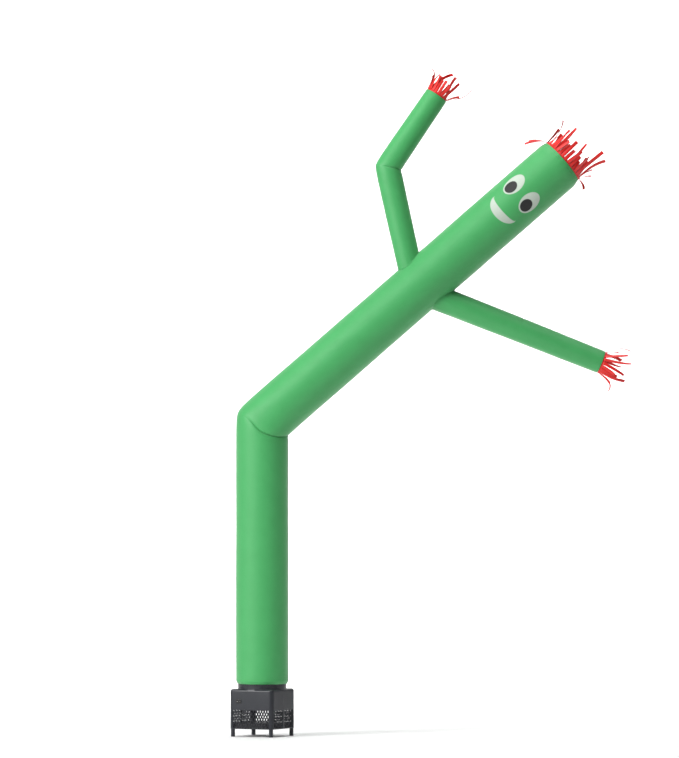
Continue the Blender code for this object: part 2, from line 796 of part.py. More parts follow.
def build_streamers(name, end_ring, inward_ring, segments, rows, dancer, solids):
    """A band just past a tube's open end, with ribbons drawn out of its front faces."""
    centre = end_ring.mean(axis=0)
    axis = unit(centre - inward_ring.mean(axis=0))
    radius = float(np.linalg.norm(end_ring - centre, axis=1).mean()) - CLOTH / 2
    first = unit(end_ring[0] - centre)
    second = unit(end_ring[len(end_ring) // 4] - centre)
    angle = (np.arange(segments) - 0.5) * 2 * math.pi / segments
    spoke = np.cos(angle)[:, None] * first + np.sin(angle)[:, None] * second
    low = centre + axis * GAP
    high = low + axis * BAND_WIDTH
    outer, inner = radius + RIBBON_THICKNESS / 2, radius - RIBBON_THICKNESS / 2
    loops = np.array([low + spoke * inner, low + spoke * outer,
                      high + spoke * outer, high + spoke * inner])

    bm = bmesh.new()
    verts = [[bm.verts.new(point) for point in loop] for loop in loops.tolist()]
    front = []
    for side in range(4):
        here, there = verts[side], verts[(side + 1) % 4]
        for i in range(segments):
            j = (i + 1) % segments
            face = bm.faces.new((here[i], here[j], there[j], there[i]))
            if side == 2:
                front.append(face)
    width = 2 * radius * math.sin(math.pi / segments)
    for segment, *row in rows:
        middle = 2 * math.pi * segment / segments
        radial = math.cos(middle) * first + math.sin(middle) * second
        around = unit(math.cos(middle) * second - math.sin(middle) * first)
        root = high + radial * radius * math.cos(math.pi / segments)
        face = front[segment]
        for section in ribbon_sections(root, axis, radial, around, width, row):
            face = bmesh.ops.extrude_discrete_faces(bm, faces=[face])["faces"][0]
            for vert, point in zip(face.verts, section):
                vert.co = point
    bmesh.ops.recalc_face_normals(bm, faces=bm.faces)
    place(name, mesh_of(name, bm), dancer, solids, "red_ribbon")


def main():
    clear_scene()
    solids = new_collection("air_dancer_on_blower")
    cutters = new_collection("cutters")
    root = empty("air_dancer", None, solids, location=(-CENTRE_X, 0, 0))
    blower = empty("blower", root, solids, turn=(0, 0, BLOWER_YAW))
    build_housing(blower, solids, cutters)
    build_grilles(blower, solids)
    build_floor_plate(blower, solids)
    build_guard_and_motor(blower, solids, cutters)
    build_switch(blower, solids)

    body = build_body(root, solids, cutters)
    left = build_arm("arm_left", LEFT_ARM, ELBOW_FOLD, root, solids)
    right = build_arm("arm_right", RIGHT_ARM, STRAIGHT, root, solids)
    build_streamers("head_streamers", body[-1], body[-2], HEAD_SEGMENTS, HEAD_RIBBONS, root, solids)
    build_streamers(
        "left_cuff_streamers", left[-1], left[-2], CUFF_SEGMENTS, LEFT_CUFF_RIBBONS, root, solids
    )
    build_streamers(
        "right_cuff_streamers", right[-1], right[-2], CUFF_SEGMENTS, RIGHT_CUFF_RIBBONS, root, solids
    )


main()
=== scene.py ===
"""Looks of an inflatable air dancer that stands on its blower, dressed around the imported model.

Lengths are metres. The dancer is worked out about its blower's axis, bending over to +X with
its face towards -Y, and is then moved to the frame's place by ORIGIN.
"""

import logging
import math
from collections.abc import Iterator
from contextlib import contextmanager
from dataclasses import dataclass, field
from enum import Enum

import bmesh
import bpy
import numpy as np
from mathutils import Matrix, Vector


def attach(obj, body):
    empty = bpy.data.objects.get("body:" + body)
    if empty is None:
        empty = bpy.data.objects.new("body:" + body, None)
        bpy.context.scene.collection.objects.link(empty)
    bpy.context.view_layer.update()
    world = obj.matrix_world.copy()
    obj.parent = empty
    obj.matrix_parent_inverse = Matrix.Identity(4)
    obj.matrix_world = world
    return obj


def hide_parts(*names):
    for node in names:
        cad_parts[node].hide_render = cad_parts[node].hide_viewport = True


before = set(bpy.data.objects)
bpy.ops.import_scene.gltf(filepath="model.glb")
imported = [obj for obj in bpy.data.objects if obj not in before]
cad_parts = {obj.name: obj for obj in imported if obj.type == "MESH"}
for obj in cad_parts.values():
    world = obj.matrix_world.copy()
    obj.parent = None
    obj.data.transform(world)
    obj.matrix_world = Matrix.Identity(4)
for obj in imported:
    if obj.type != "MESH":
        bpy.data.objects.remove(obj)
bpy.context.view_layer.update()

LOG = logging.getLogger("air_dancer")

ORIGIN = np.array([-0.425, 0.0, 0.0])
BLOWER_YAW = math.radians(-27.9)
MM = 0.001
WELD = 0.00001

# A ribbon's row: segment of the band, length in millimetres, and in degrees its lean
# outwards, its sway round the rim, its bend and its twist
RibbonRow = tuple[int, float, float, float, float, float]

HEAD_RIBBONS: tuple[RibbonRow, ...] = (
    (0, 30, 88, 0, 60, 50),
    (2, 46, 6, 4, 20, 40),
    (4, 58, -4, 10, -10, -40),
    (6, 40, 4, -6, 20, 30),
    (7, 84, 0, 10, 4, 40),
    (9, 38, 4, 0, 20, 30),
    (11, 46, -6, 0, -20, 30),
    (12, 90, 6, 2, 0, 84),
    (13, 54, 14, 4, 16, 40),
    (15, 62, 4, 0, 26, -40),
    (17, 48, 2, 6, 12, 40),
    (18, 58, 132, 4, 30, 40),
    (19, 50, 122, -2, 44, 36),
    (20, 56, -10, -2, 10, 30),
    (21, 70, 6, -4, 34, 60),
    (22, 62, -4, 0, 0, 30),
    (23, 60, 10, 0, 6, 30),
    (24, 42, 24, 20, -4, 8),
    (25, 36, -8, 4, -10, -20),
    (26, 52, 6, 0, 0, -16),
    (27, 34, -4, 0, -10, 20),
    (28, 46, 24, 2, -16, -16),
    (29, 34, 4, 0, -6, 20),
    (30, 26, -8, 0, -10, 10),
    (31, 54, 16, -20, 10, -30),
    (32, 87, 2, 0, 6, 50),
    (33, 46, -10, -8, -20, 60),
    (34, 82, -2, 2, 42, 40),
    (35, 32, 20, 0, 30, -40),
)
LEFT_CUFF_RIBBONS: tuple[RibbonRow, ...] = (
    (0, 80, 50, 0, -58, 16),
    (2, 40, 10, 4, -20, 40),
    (4, 44, 2, -6, 20, -30),
    (6, 50, 4, 6, -30, 50),
    (8, 82, -14, 0, -64, 50),
    (9, 40, 4, 0, 20, 30),
    (10, 78, -8, 0, 150, 50),
    (11, 34, 8, 4, 30, 40),
    (12, 74, 12, -4, -84, 36),
    (13, 44, 10, 4, 20, 30),
    (14, 36, 2, 0, 14, -20),
    (15, 40, 18, -2, -6, 20),
    (16, 34, 12, 6, 20, 24),
    (17, 54, 10, 12, -6, 12),
    (18, 64, -12, -14, 40, 40),
    (19, 34, 36, 6, 20, 40),
)
RIGHT_CUFF_RIBBONS: tuple[RibbonRow, ...] = (
    (0, 66, 42, 0, -54, 16),
    (1, 32, 22, 4, 10, 40),
    (2, 46, -6, -4, -10, 30),
    (3, 58, 18, -16, 4, 12),
    (4, 70, 4, -8, 16, 44),
    (5, 62, 4, 8, -12, 40),
    (6, 40, 12, 6, 20, -30),
    (7, 48, 8, 2, -24, 40),
    (8, 76, 10, 2, -52, 44),
    (9, 40, 14, 4, 24, 30),
    (10, 74, 2, 0, 150, 40),
    (12, 44, 2, 6, -20, -30),
    (14, 50, 6, 0, 30, 40),
    (16, 56, 2, -6, 20, -50),
    (18, 48, 8, 0, -24, 30),
)


def unit(vector: np.ndarray) -> np.ndarray:
    """The vector, or each vector of an array's last axis, at length 1."""
    return vector / np.linalg.norm(vector, axis=-1, keepdims=True)


def smooth_step(value: np.ndarray, low: float, high: float) -> np.ndarray:
    """0 below low and 1 above high, joined by 3t^2 - 2t^3."""
    t = np.clip((value - low) / (high - low), 0.0, 1.0)
    return t * t * (3 - 2 * t)


def ridge(distance: np.ndarray, place: float, width: float) -> np.ndarray:
    """1 at a place and less on both sides of it: exp(-((distance - place) / width)^2)."""
    return np.exp(-(((distance - place) / width) ** 2))


def placed(name: str, data: bpy.types.ID) -> bpy.types.Object:
    """A new object of the scene, at the origin, around a mesh, lamp or camera."""
    thing = bpy.data.objects.new(name, data)
    bpy.context.scene.collection.objects.link(thing)
    return thing


@contextmanager
def edited(mesh: bpy.types.Mesh) -> Iterator[bmesh.types.BMesh]:
    """Opens a mesh for editing and writes it back at the end."""
    bm = bmesh.new()
    bm.from_mesh(mesh)
    yield bm
    bm.to_mesh(mesh)
    bm.free()


class Value:
    """A socket of a node tree that takes part in Python arithmetic."""

    def __init__(self, graph: "Graph", socket: bpy.types.NodeSocket) -> None:
        """Keeps the tree that the socket belongs to, so that results join the same tree."""
        self.graph = graph
        self.socket = socket

    def _math(self, operation: str, *operands: object) -> "Value":
        """A Math node on the given operands, in order."""
        node = self.graph.node(
            "ShaderNodeMath", {"operation": operation}, dict(enumerate(operands))
        )
        return Value(self.graph, node.outputs[0])

    def __add__(self, other: object) -> "Value":
        """self + other."""
        return self._math("ADD", self, other)

    __radd__ = __add__

    def __sub__(self, other: object) -> "Value":
        """self - other."""
        return self._math("SUBTRACT", self, other)

    def __mul__(self, other: object) -> "Value":
        """self * other."""
        return self._math("MULTIPLY", self, other)

    __rmul__ = __mul__

    def __truediv__(self, other: object) -> "Value":
        """self / other."""
        return self._math("DIVIDE", self, other)

    def sqrt(self) -> "Value":
        """The square root."""
        return self._math("SQRT", self)

    def sine(self) -> "Value":
        """The sine of an angle in radians."""
        return self._math("SINE", self)

    def magnitude(self) -> "Value":
        """The value without its sign."""
        return self._math("ABSOLUTE", self)

    def fraction(self) -> "Value":
        """What is left over a whole number."""
        return self._math("FRACT", self)

    def at_most(self, other: object) -> "Value":
        """The lesser of the two."""
        return self._math("MINIMUM", self, other)

    def at_least(self, other: object) -> "Value":
        """The greater of the two."""
        return self._math("MAXIMUM", self, other)

    def ramp(self, low: float, high: float) -> "Value":
        """0 below low to 1 above high, smoothly.

        Args:
            low: Value that gives 0. It may lie above high, for a falling ramp.
            high: Value that gives 1.

        Returns:
            The ramped value.
        """
        node = self.graph.node(
            "ShaderNodeMapRange",
            {"interpolation_type": "SMOOTHSTEP"},
            {"Value": self, "From Min": low, "From Max": high},
        )
        return Value(self.graph, node.outputs["Result"])


class Graph:
    """The node tree of one material, with its Principled shader."""

    def __init__(self, name: str) -> None:
        """Starts a material with an untouched Principled shader."""
        self.material = bpy.data.materials.new(name)
        self.material.use_nodes = True
        self.tree = self.material.node_tree
        self.shader = self.tree.nodes["Principled BSDF"]

    def node(
        self, kind: str, settings: dict[str, object] | None = None, inputs: dict | None = None
    ) -> bpy.types.Node:
        """Adds one node.

        Args:
            kind: The node's type, such as ShaderNodeTexNoise.
            settings: Its own settings, set first.
            inputs: A number, colour or Value for each named or numbered socket.

        Returns:
            The node.
        """
        made = self.tree.nodes.new(kind)
        for name, setting in (settings or {}).items():
            setattr(made, name, setting)
        for name, given in (inputs or {}).items():
            self.feed(made.inputs[name], given)
        return made

    def feed(self, socket: bpy.types.NodeSocket, given: object) -> None:
        """Links a Value to a socket, or sets the socket to a plain number or colour."""
        if isinstance(given, Value):
            self.tree.links.new(given.socket, socket)
        else:
            socket.default_value = given

    def noise(self, place: Value, scale: float, detail: float = 2.0) -> Value:
        """Perlin noise of about 0.5 on average, with so many features to a metre."""
        node = self.node(
            "ShaderNodeTexNoise", {}, {"Vector": place, "Scale": scale, "Detail": detail}
        )
        return Value(self, node.outputs["Fac"])

    def object_place(self) -> Value:
        """The point's own object coordinates, in metres."""
        node = self.node("ShaderNodeTexCoord")
        return Value(self, node.outputs["Object"])

    def cut_place(self) -> tuple[Value, Value, Value]:
        """The point's place on the flat cut of its cloth.

        Returns:
            The place as a vector, then its parts across and along.
        """
        node = self.node("ShaderNodeUVMap", {"uv_map": "cut"})
        parts = self.node(
            "ShaderNodeSeparateXYZ", {}, {"Vector": Value(self, node.outputs["UV"])}
        )
        return (
            Value(self, node.outputs["UV"]),
            Value(self, parts.outputs["X"]),
            Value(self, parts.outputs["Y"]),
        )

    def stretched(self, place: Value, scale: tuple[float, float, float]) -> Value:
        """A place with each axis multiplied by its own number."""
        node = self.node(
            "ShaderNodeVectorMath", {"operation": "MULTIPLY"}, {0: place, 1: scale}
        )
        return Value(self, node.outputs[0])

    def mix(self, share: object, first: object, second: object) -> Value:
        """A colour between two others, by a share from 0 to 1."""
        node = self.node("ShaderNodeMix", {"data_type": "RGBA"}, {"Factor": share})
        self.feed(node.inputs[6], first)
        self.feed(node.inputs[7], second)
        return Value(self, node.outputs[2])

    def set_shader(self, **settings: object) -> None:
        """Sets or links sockets of the Principled shader, named with _ for a space."""
        for name, given in settings.items():
            self.feed(self.shader.inputs[name.replace("_", " ")], given)

    def bump(self, height: Value, distance: float, strength: float = 1.0) -> None:
        """Feeds the shader's Normal from a height of 0 to 1 that stands for distance metres."""
        node = self.node(
            "ShaderNodeBump",
            {},
            {"Height": height, "Distance": distance, "Strength": strength},
        )
        self.feed(self.shader.inputs["Normal"], Value(self, node.outputs["Normal"]))

    def clear_from_behind(self) -> None:
        """Makes the back of every face see-through."""
        facing = self.node("ShaderNodeNewGeometry")
        blend = self.node(
            "ShaderNodeMixShader", {}, {"Fac": Value(self, facing.outputs["Backfacing"])}
        )
        self.feed(blend.inputs[1], Value(self, self.shader.outputs["BSDF"]))
        clear = self.node("ShaderNodeBsdfTransparent")
        self.feed(blend.inputs[2], Value(self, clear.outputs["BSDF"]))
        end = self.tree.nodes["Material Output"]
        self.feed(end.inputs["Surface"], Value(self, blend.outputs["Shader"]))


Colour = tuple[float, float, float, float]


@dataclass(frozen=True)
class PrintedFace:
    """A plain smiling face printed on the cloth, with its places on the flat cut.

    Across is the arc from the side that faces the camera, along is measured from the bend.
    """

    eye_along: float = 0.8805
    eye_across: tuple[float, float] = (-0.0405, 0.0240)
    eye_half_height: float = 0.0318
    eye_half_width: float = 0.0224
    pupil_drop: float = 0.0104
    pupil_half_height: float = 0.0178
    pupil_half_width: float = 0.0152
    mouth_along: float = 0.8247
    mouth_across: float = -0.0076
    mouth_half_width: float = 0.0457
    mouth_depth: float = 0.0330
    lip_depth: float = 0.0110
    edge: float = 0.0009
    slant: float = 0.0065
    tube_radius: float = 0.0672
    white: Colour = (0.49, 0.57, 0.49, 1.0)
    dark: Colour = (0.006, 0.006, 0.007, 1.0)

    def oval(
        self, across: Value, along: Value, centre: tuple[float, float], half: tuple[float, float]
    ) -> Value:
        """1 inside an ellipse and 0 outside it, with an edge as soft as the print's.

        Args:
            across: Place across the cut.
            along: Place along the cut.
            centre: The ellipse's centre, across and along.
            half: Its half axes, across and along.

        Returns:
            The mask.
        """
        x = (across - centre[0]) / half[0]
        y = (along - centre[1]) / half[1]
        reach = (x * x + y * y).sqrt()
        soft = self.edge / min(half)
        return reach.ramp(1.0 + soft, 1.0 - soft)

    def masks(self, across: Value, along: Value) -> tuple[Value, Value]:
        """Where the print is white and where it is black.

        The cut's rows lean towards the bend by the slant times the sine of the angle round
        the tube, which is taken off here so that the face stands square to the tube.

        Args:
            across: Place across the cut.
            along: Place along the cut, from the bend.

        Returns:
            The white mask and the dark mask.
        """
        along = along + (across / self.tube_radius).sine() * self.slant
        eyes = [
            self.oval(
                across,
                along,
                (place, self.eye_along),
                (self.eye_half_width, self.eye_half_height),
            )
            for place in self.eye_across
        ]
        pupils = [
            self.oval(
                across,
                along,
                (place, self.eye_along - self.pupil_drop),
                (self.pupil_half_width, self.pupil_half_height),
            )
            for place in self.eye_across
        ]
        middle = (self.mouth_across, self.mouth_along)
        lower = self.oval(across, along, middle, (self.mouth_half_width, self.mouth_depth))
        upper = self.oval(across, along, middle, (self.mouth_half_width, self.lip_depth))
        below = along.ramp(self.mouth_along + self.edge, self.mouth_along - self.edge)
        mouth = (lower - upper).at_least(0.0) * below
        dark = pupils[0].at_least(pupils[1])
        return eyes[0].at_least(eyes[1]).at_least(mouth), dark


@dataclass(frozen=True)
class Nylon:
    """Light woven nylon: its dyed colour, its weave and the stitching along its hems."""

    name: str
    colour: Colour
    deep: Colour
    roughness: float = 0.52
    sheen: float = 0.30
    thread_pitch: float = 0.0007
    crumple_scale: float = 24.0
    stitch_rows: tuple[float, ...] = ()
    stitch_pitch: float = 0.0032
    # Distance across the cut where the colour starts to darken towards the long edges, and the
    # darker red it reaches
    darker_edge_from: float | None = None
    darker_edge: Colour = (0.16, 0.004, 0.006, 1.0)
    face: PrintedFace | None = None

    def stitches(self, graph: Graph, across: Value, along: Value) -> Value:
        """A dashed line of stitches at each of the rows along the cut.

        Args:
            graph: The material's tree.
            across: Place across the cut.
            along: Place along the cut.

        Returns:
            The mask of the stitches.
        """
        dash = (across / self.stitch_pitch).fraction().ramp(0.72, 0.62)
        lines = [(along - row).magnitude().ramp(0.0006, 0.0003) for row in self.stitch_rows]
        line = lines[0]
        for other in lines[1:]:
            line = line.at_least(other)
        return line * dash

    def material(self) -> bpy.types.Material:
        """Makes the finish.

        Returns:
            The material.
        """
        graph = Graph(self.name)
        place, across, along = graph.cut_place()
        soft = graph.noise(place, self.crumple_scale)
        fine = graph.noise(graph.stretched(place, (1.0, 0.45, 1.0)), 210.0, 3.0)
        turns = 2 * math.pi / self.thread_pitch
        weave = (across * turns).sine() * (along * turns).sine() * 0.5 + 0.5
        tone = soft.ramp(0.25, 0.75) * 0.30 + fine * 0.20 + weave * 0.06
        colour = graph.mix(tone, self.colour, self.deep)
        height = soft * 0.30 + fine * 0.22 + weave * 0.05
        if self.stitch_rows:
            stitch = self.stitches(graph, across, along)
            colour = graph.mix(stitch * 0.45, colour, self.deep)
            height = height + stitch * 0.25
        # Darker red along both long edges of the cut
        if self.darker_edge_from is not None:
            edge = across.magnitude().ramp(self.darker_edge_from, self.darker_edge_from + 0.0012)
            colour = graph.mix(edge * 0.8, colour, self.darker_edge)
        if self.face:
            white, dark = self.face.masks(across, along)
            dull = tuple(0.88 * shade for shade in self.face.white[:3]) + (1.0,)
            white_tone = graph.mix(fine, self.face.white, dull)
            colour = graph.mix(white, colour, white_tone)
            colour = graph.mix(dark, colour, self.face.dark)
        graph.set_shader(Base_Color=colour, Roughness=self.roughness + 0.10 * (fine - 0.5))
        graph.set_shader(Sheen_Weight=self.sheen, Sheen_Roughness=0.4, Specular_IOR_Level=0.5)
        graph.bump(height, 0.0012, 0.55)
        return graph.material


@dataclass(frozen=True)
class MouldedPlastic:
    """Plastic from a mould: its colour, its gloss and its fine spark-eroded grain."""

    name: str
    colour: Colour
    worn: Colour
    roughness: float
    grain: float = 900.0
    grain_depth: float = 0.00012
    coat: float = 0.0

    def material(self) -> bpy.types.Material:
        """Makes the finish.

        Returns:
            The material.
        """
        graph = Graph(self.name)
        place = graph.object_place()
        grain = graph.noise(place, self.grain, 2.0)
        dust = graph.noise(place, 26.0, 4.0)
        streak = graph.noise(graph.stretched(place, (1.0, 1.0, 0.2)), 60.0, 3.0)
        tone = (dust.ramp(0.35, 0.8) * 0.6 + streak.ramp(0.4, 0.9) * 0.4).at_most(1.0)
        graph.set_shader(
            Base_Color=graph.mix(tone, self.colour, self.worn),
            Roughness=self.roughness + 0.08 * (dust - 0.5) + 0.06 * (grain - 0.5),
            Coat_Weight=self.coat,
        )
        graph.bump(grain, self.grain_depth, 0.5)
        return graph.material


@dataclass(frozen=True)
class BareMetal:
    """Plated or painted metal with light scratches along one way."""

    name: str
    colour: Colour
    worn: Colour
    roughness: float
    metallic: float

    def material(self) -> bpy.types.Material:
        """Makes the finish.

        Returns:
            The material.
        """
        graph = Graph(self.name)
        place = graph.object_place()
        scratch = graph.noise(graph.stretched(place, (1.0, 1.0, 0.06)), 1400.0, 2.0)
        smear = graph.noise(place, 40.0, 3.0)
        graph.set_shader(
            Base_Color=graph.mix(smear.ramp(0.3, 0.8) * 0.5, self.colour, self.worn),
            Roughness=self.roughness + 0.12 * (scratch - 0.5) + 0.08 * (smear - 0.5),
            Metallic=self.metallic,
        )
        graph.bump(scratch, 0.00005, 0.4)
        return graph.material


GREEN: Colour = (0.052, 0.360, 0.104, 1.0)
DEEP_GREEN: Colour = (0.038, 0.305, 0.080, 1.0)
RED: Colour = (0.76, 0.014, 0.010, 1.0)
DEEP_RED: Colour = (0.50, 0.006, 0.006, 1.0)


class Finish(Enum):
    """The finishes of the dancer and its blower."""

    BODY = Nylon(
        "green_nylon_with_face",
        GREEN,
        DEEP_GREEN,
        stitch_rows=(-0.6540, -0.6480, 1.0120, 1.0095),
        face=PrintedFace(),
    )
    SLEEVE = Nylon("green_nylon_sleeve", GREEN, DEEP_GREEN, stitch_rows=(0.0040, 0.0070))
    RIBBON = Nylon(
        "red_nylon_ribbon",
        RED,
        DEEP_RED,
        roughness=0.46,
        sheen=0.04,
        thread_pitch=0.0005,
        darker_edge_from=0.0036,
    )
    HOUSING = MouldedPlastic(
        "black_housing_plastic", (0.014, 0.016, 0.022, 1.0), (0.022, 0.024, 0.031, 1.0), 0.38
    )
    INSIDE = MouldedPlastic(
        "black_inner_plastic", (0.014, 0.014, 0.016, 1.0), (0.022, 0.022, 0.024, 1.0), 0.50
    )
    SWITCH = MouldedPlastic(
        "gloss_switch_plastic",
        (0.010, 0.010, 0.011, 1.0),
        (0.016, 0.016, 0.018, 1.0),
        0.28,
        grain_depth=0.00003,
        coat=0.2,
    )
    MARKING = MouldedPlastic(
        "white_marking", (0.78, 0.78, 0.76, 1.0), (0.66, 0.66, 0.64, 1.0), 0.5
    )
    CAP = MouldedPlastic(
        "white_cap_plastic", (0.80, 0.80, 0.79, 1.0), (0.70, 0.70, 0.68, 1.0), 0.34
    )
    MOTOR = BareMetal(
        "plated_motor_steel", (0.52, 0.52, 0.54, 1.0), (0.36, 0.36, 0.37, 1.0), 0.34, 1.0
    )
    PLATE = BareMetal(
        "painted_plate_steel", (0.045, 0.045, 0.050, 1.0), (0.070, 0.068, 0.066, 1.0), 0.55, 0.0
    )

    def material(self) -> bpy.types.Material:
        """The finish's material, made the first time it is asked for."""
        return bpy.data.materials.get(self.value.name) or self.value.material()


@dataclass
class Skin:
    """Points, faces and, for cloth, a place on the flat cut for each corner of a face."""

    points: np.ndarray
    faces: np.ndarray
    cut: np.ndarray | None = None

    @staticmethod
    def from_grid(
        grid: np.ndarray,
        closed: bool,
        cut: tuple[np.ndarray, np.ndarray] | None = None,
    ) -> "Skin":
        """Four-sided faces between the rows and columns of a grid of points.

        Args:
            grid: Points as rows x columns x 3.
            closed: Whether the last column joins the first.
            cut: Places on the flat cut of the left and of the right edge of each column of
                faces, each as rows x columns of faces x 2.

        Returns:
            The skin. Its faces look out where a row's points run anticlockwise seen from
            the last row.
        """
        rows, columns = grid.shape[:2]
        wide = columns if closed else columns - 1
        row = np.arange(rows - 1)[:, None]
        column = np.arange(wide)[None, :]
        after = (column + 1) % columns
        faces = np.stack(
            [row * columns + column, row * columns + after,
             (row + 1) * columns + after, (row + 1) * columns + column],
            axis=-1,
        ).reshape(-1, 4)
        places = None
        if cut is not None:
            left, right = cut
            places = np.stack([left[:-1], right[:-1], right[1:], left[1:]], axis=2)
            places = places.reshape(-1, 4, 2)
        return Skin(grid.reshape(-1, 3), faces, places)

    @staticmethod
    def joined(skins: "list[Skin]") -> "Skin":
        """Several skins as one, still apart from each other."""
        starts = np.cumsum([0] + [len(skin.points) for skin in skins[:-1]])
        faces = np.concatenate([skin.faces + start for skin, start in zip(skins, starts)])
        cut = None
        if skins[0].cut is not None:
            cut = np.concatenate([skin.cut for skin in skins])
        return Skin(np.concatenate([skin.points for skin in skins]), faces, cut)

    def without(self, gone: np.ndarray) -> "Skin":
        """The skin without the faces that the mask names."""
        cut = None if self.cut is None else self.cut[~gone]
        return Skin(self.points, self.faces[~gone], cut)

    def piece(self, name: str, finish: Finish, slot: str, smooth: bool = True) -> bpy.types.Object:
        """Makes the skin a piece of the scene that rides with the dancer.

        Args:
            name: The piece's name.
            finish: Its finish.
            slot: The name of a material slot; not used.
            smooth: Whether its faces are shaded smooth.

        Returns:
            The piece.
        """
        mesh = bpy.data.meshes.new(name)
        mesh.from_pydata(self.points, [], self.faces.tolist())
        if self.cut is not None:
            layer = mesh.uv_layers.new(name="cut")
            layer.uv.foreach_set("vector", self.cut.astype(np.float32).ravel())
        if smooth:
            mesh.shade_smooth()
        mesh.materials.append(finish.material())
        thing = placed(name, mesh)
        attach(thing, "root")
        return thing


def add_thickness(thing: bpy.types.Object, thickness: float) -> None:
    """Gives a sheet its thickness, inwards from its faces."""
    solid = thing.modifiers.new("thickness", "SOLIDIFY")
    solid.thickness = thickness
    solid.offset = -1


@dataclass(frozen=True)
class Fold:
    """A bend's crease: how far it hangs below the mitre, how deep it cuts, how the outside
    rounds and how the lip over it swells.

    Places and widths are distances from the crease. Held is the range of the cosine of the
    angle from the inside of the bend over which the crease sets in.
    """

    drop: float
    groove: float
    rounding: float
    lip: float
    groove_width: float = 0.0022
    drop_reach: float = 0.036
    rounding_reach: float = 0.0132
    held: tuple[float, float] = (-0.80, 0.0)
    lip_place: float = 0.012
    lip_width: float = 0.008
    lower_lip_share: float = 0.35
    hang_share: float = 1.2
    hang_place: float = 0.005
    hang_width: float = 0.004
    second_depth: float = 0.0009
    second_place: float = 0.0085
    second_width: float = 0.0022


@dataclass(frozen=True)
class TubeEnd:
    """An open end: its share of the radius, the length that narrows, its tilt, its puckers
    and the groove that its seam draws in."""

    share: float
    reach: float
    tilt: float = 0.0
    pucker: float = 0.0
    pucker_count: int = 30
    seam: float = 0.0
    seam_depth: float = 0.009
    seam_width: float = 0.0011
    corner: float = 0.0


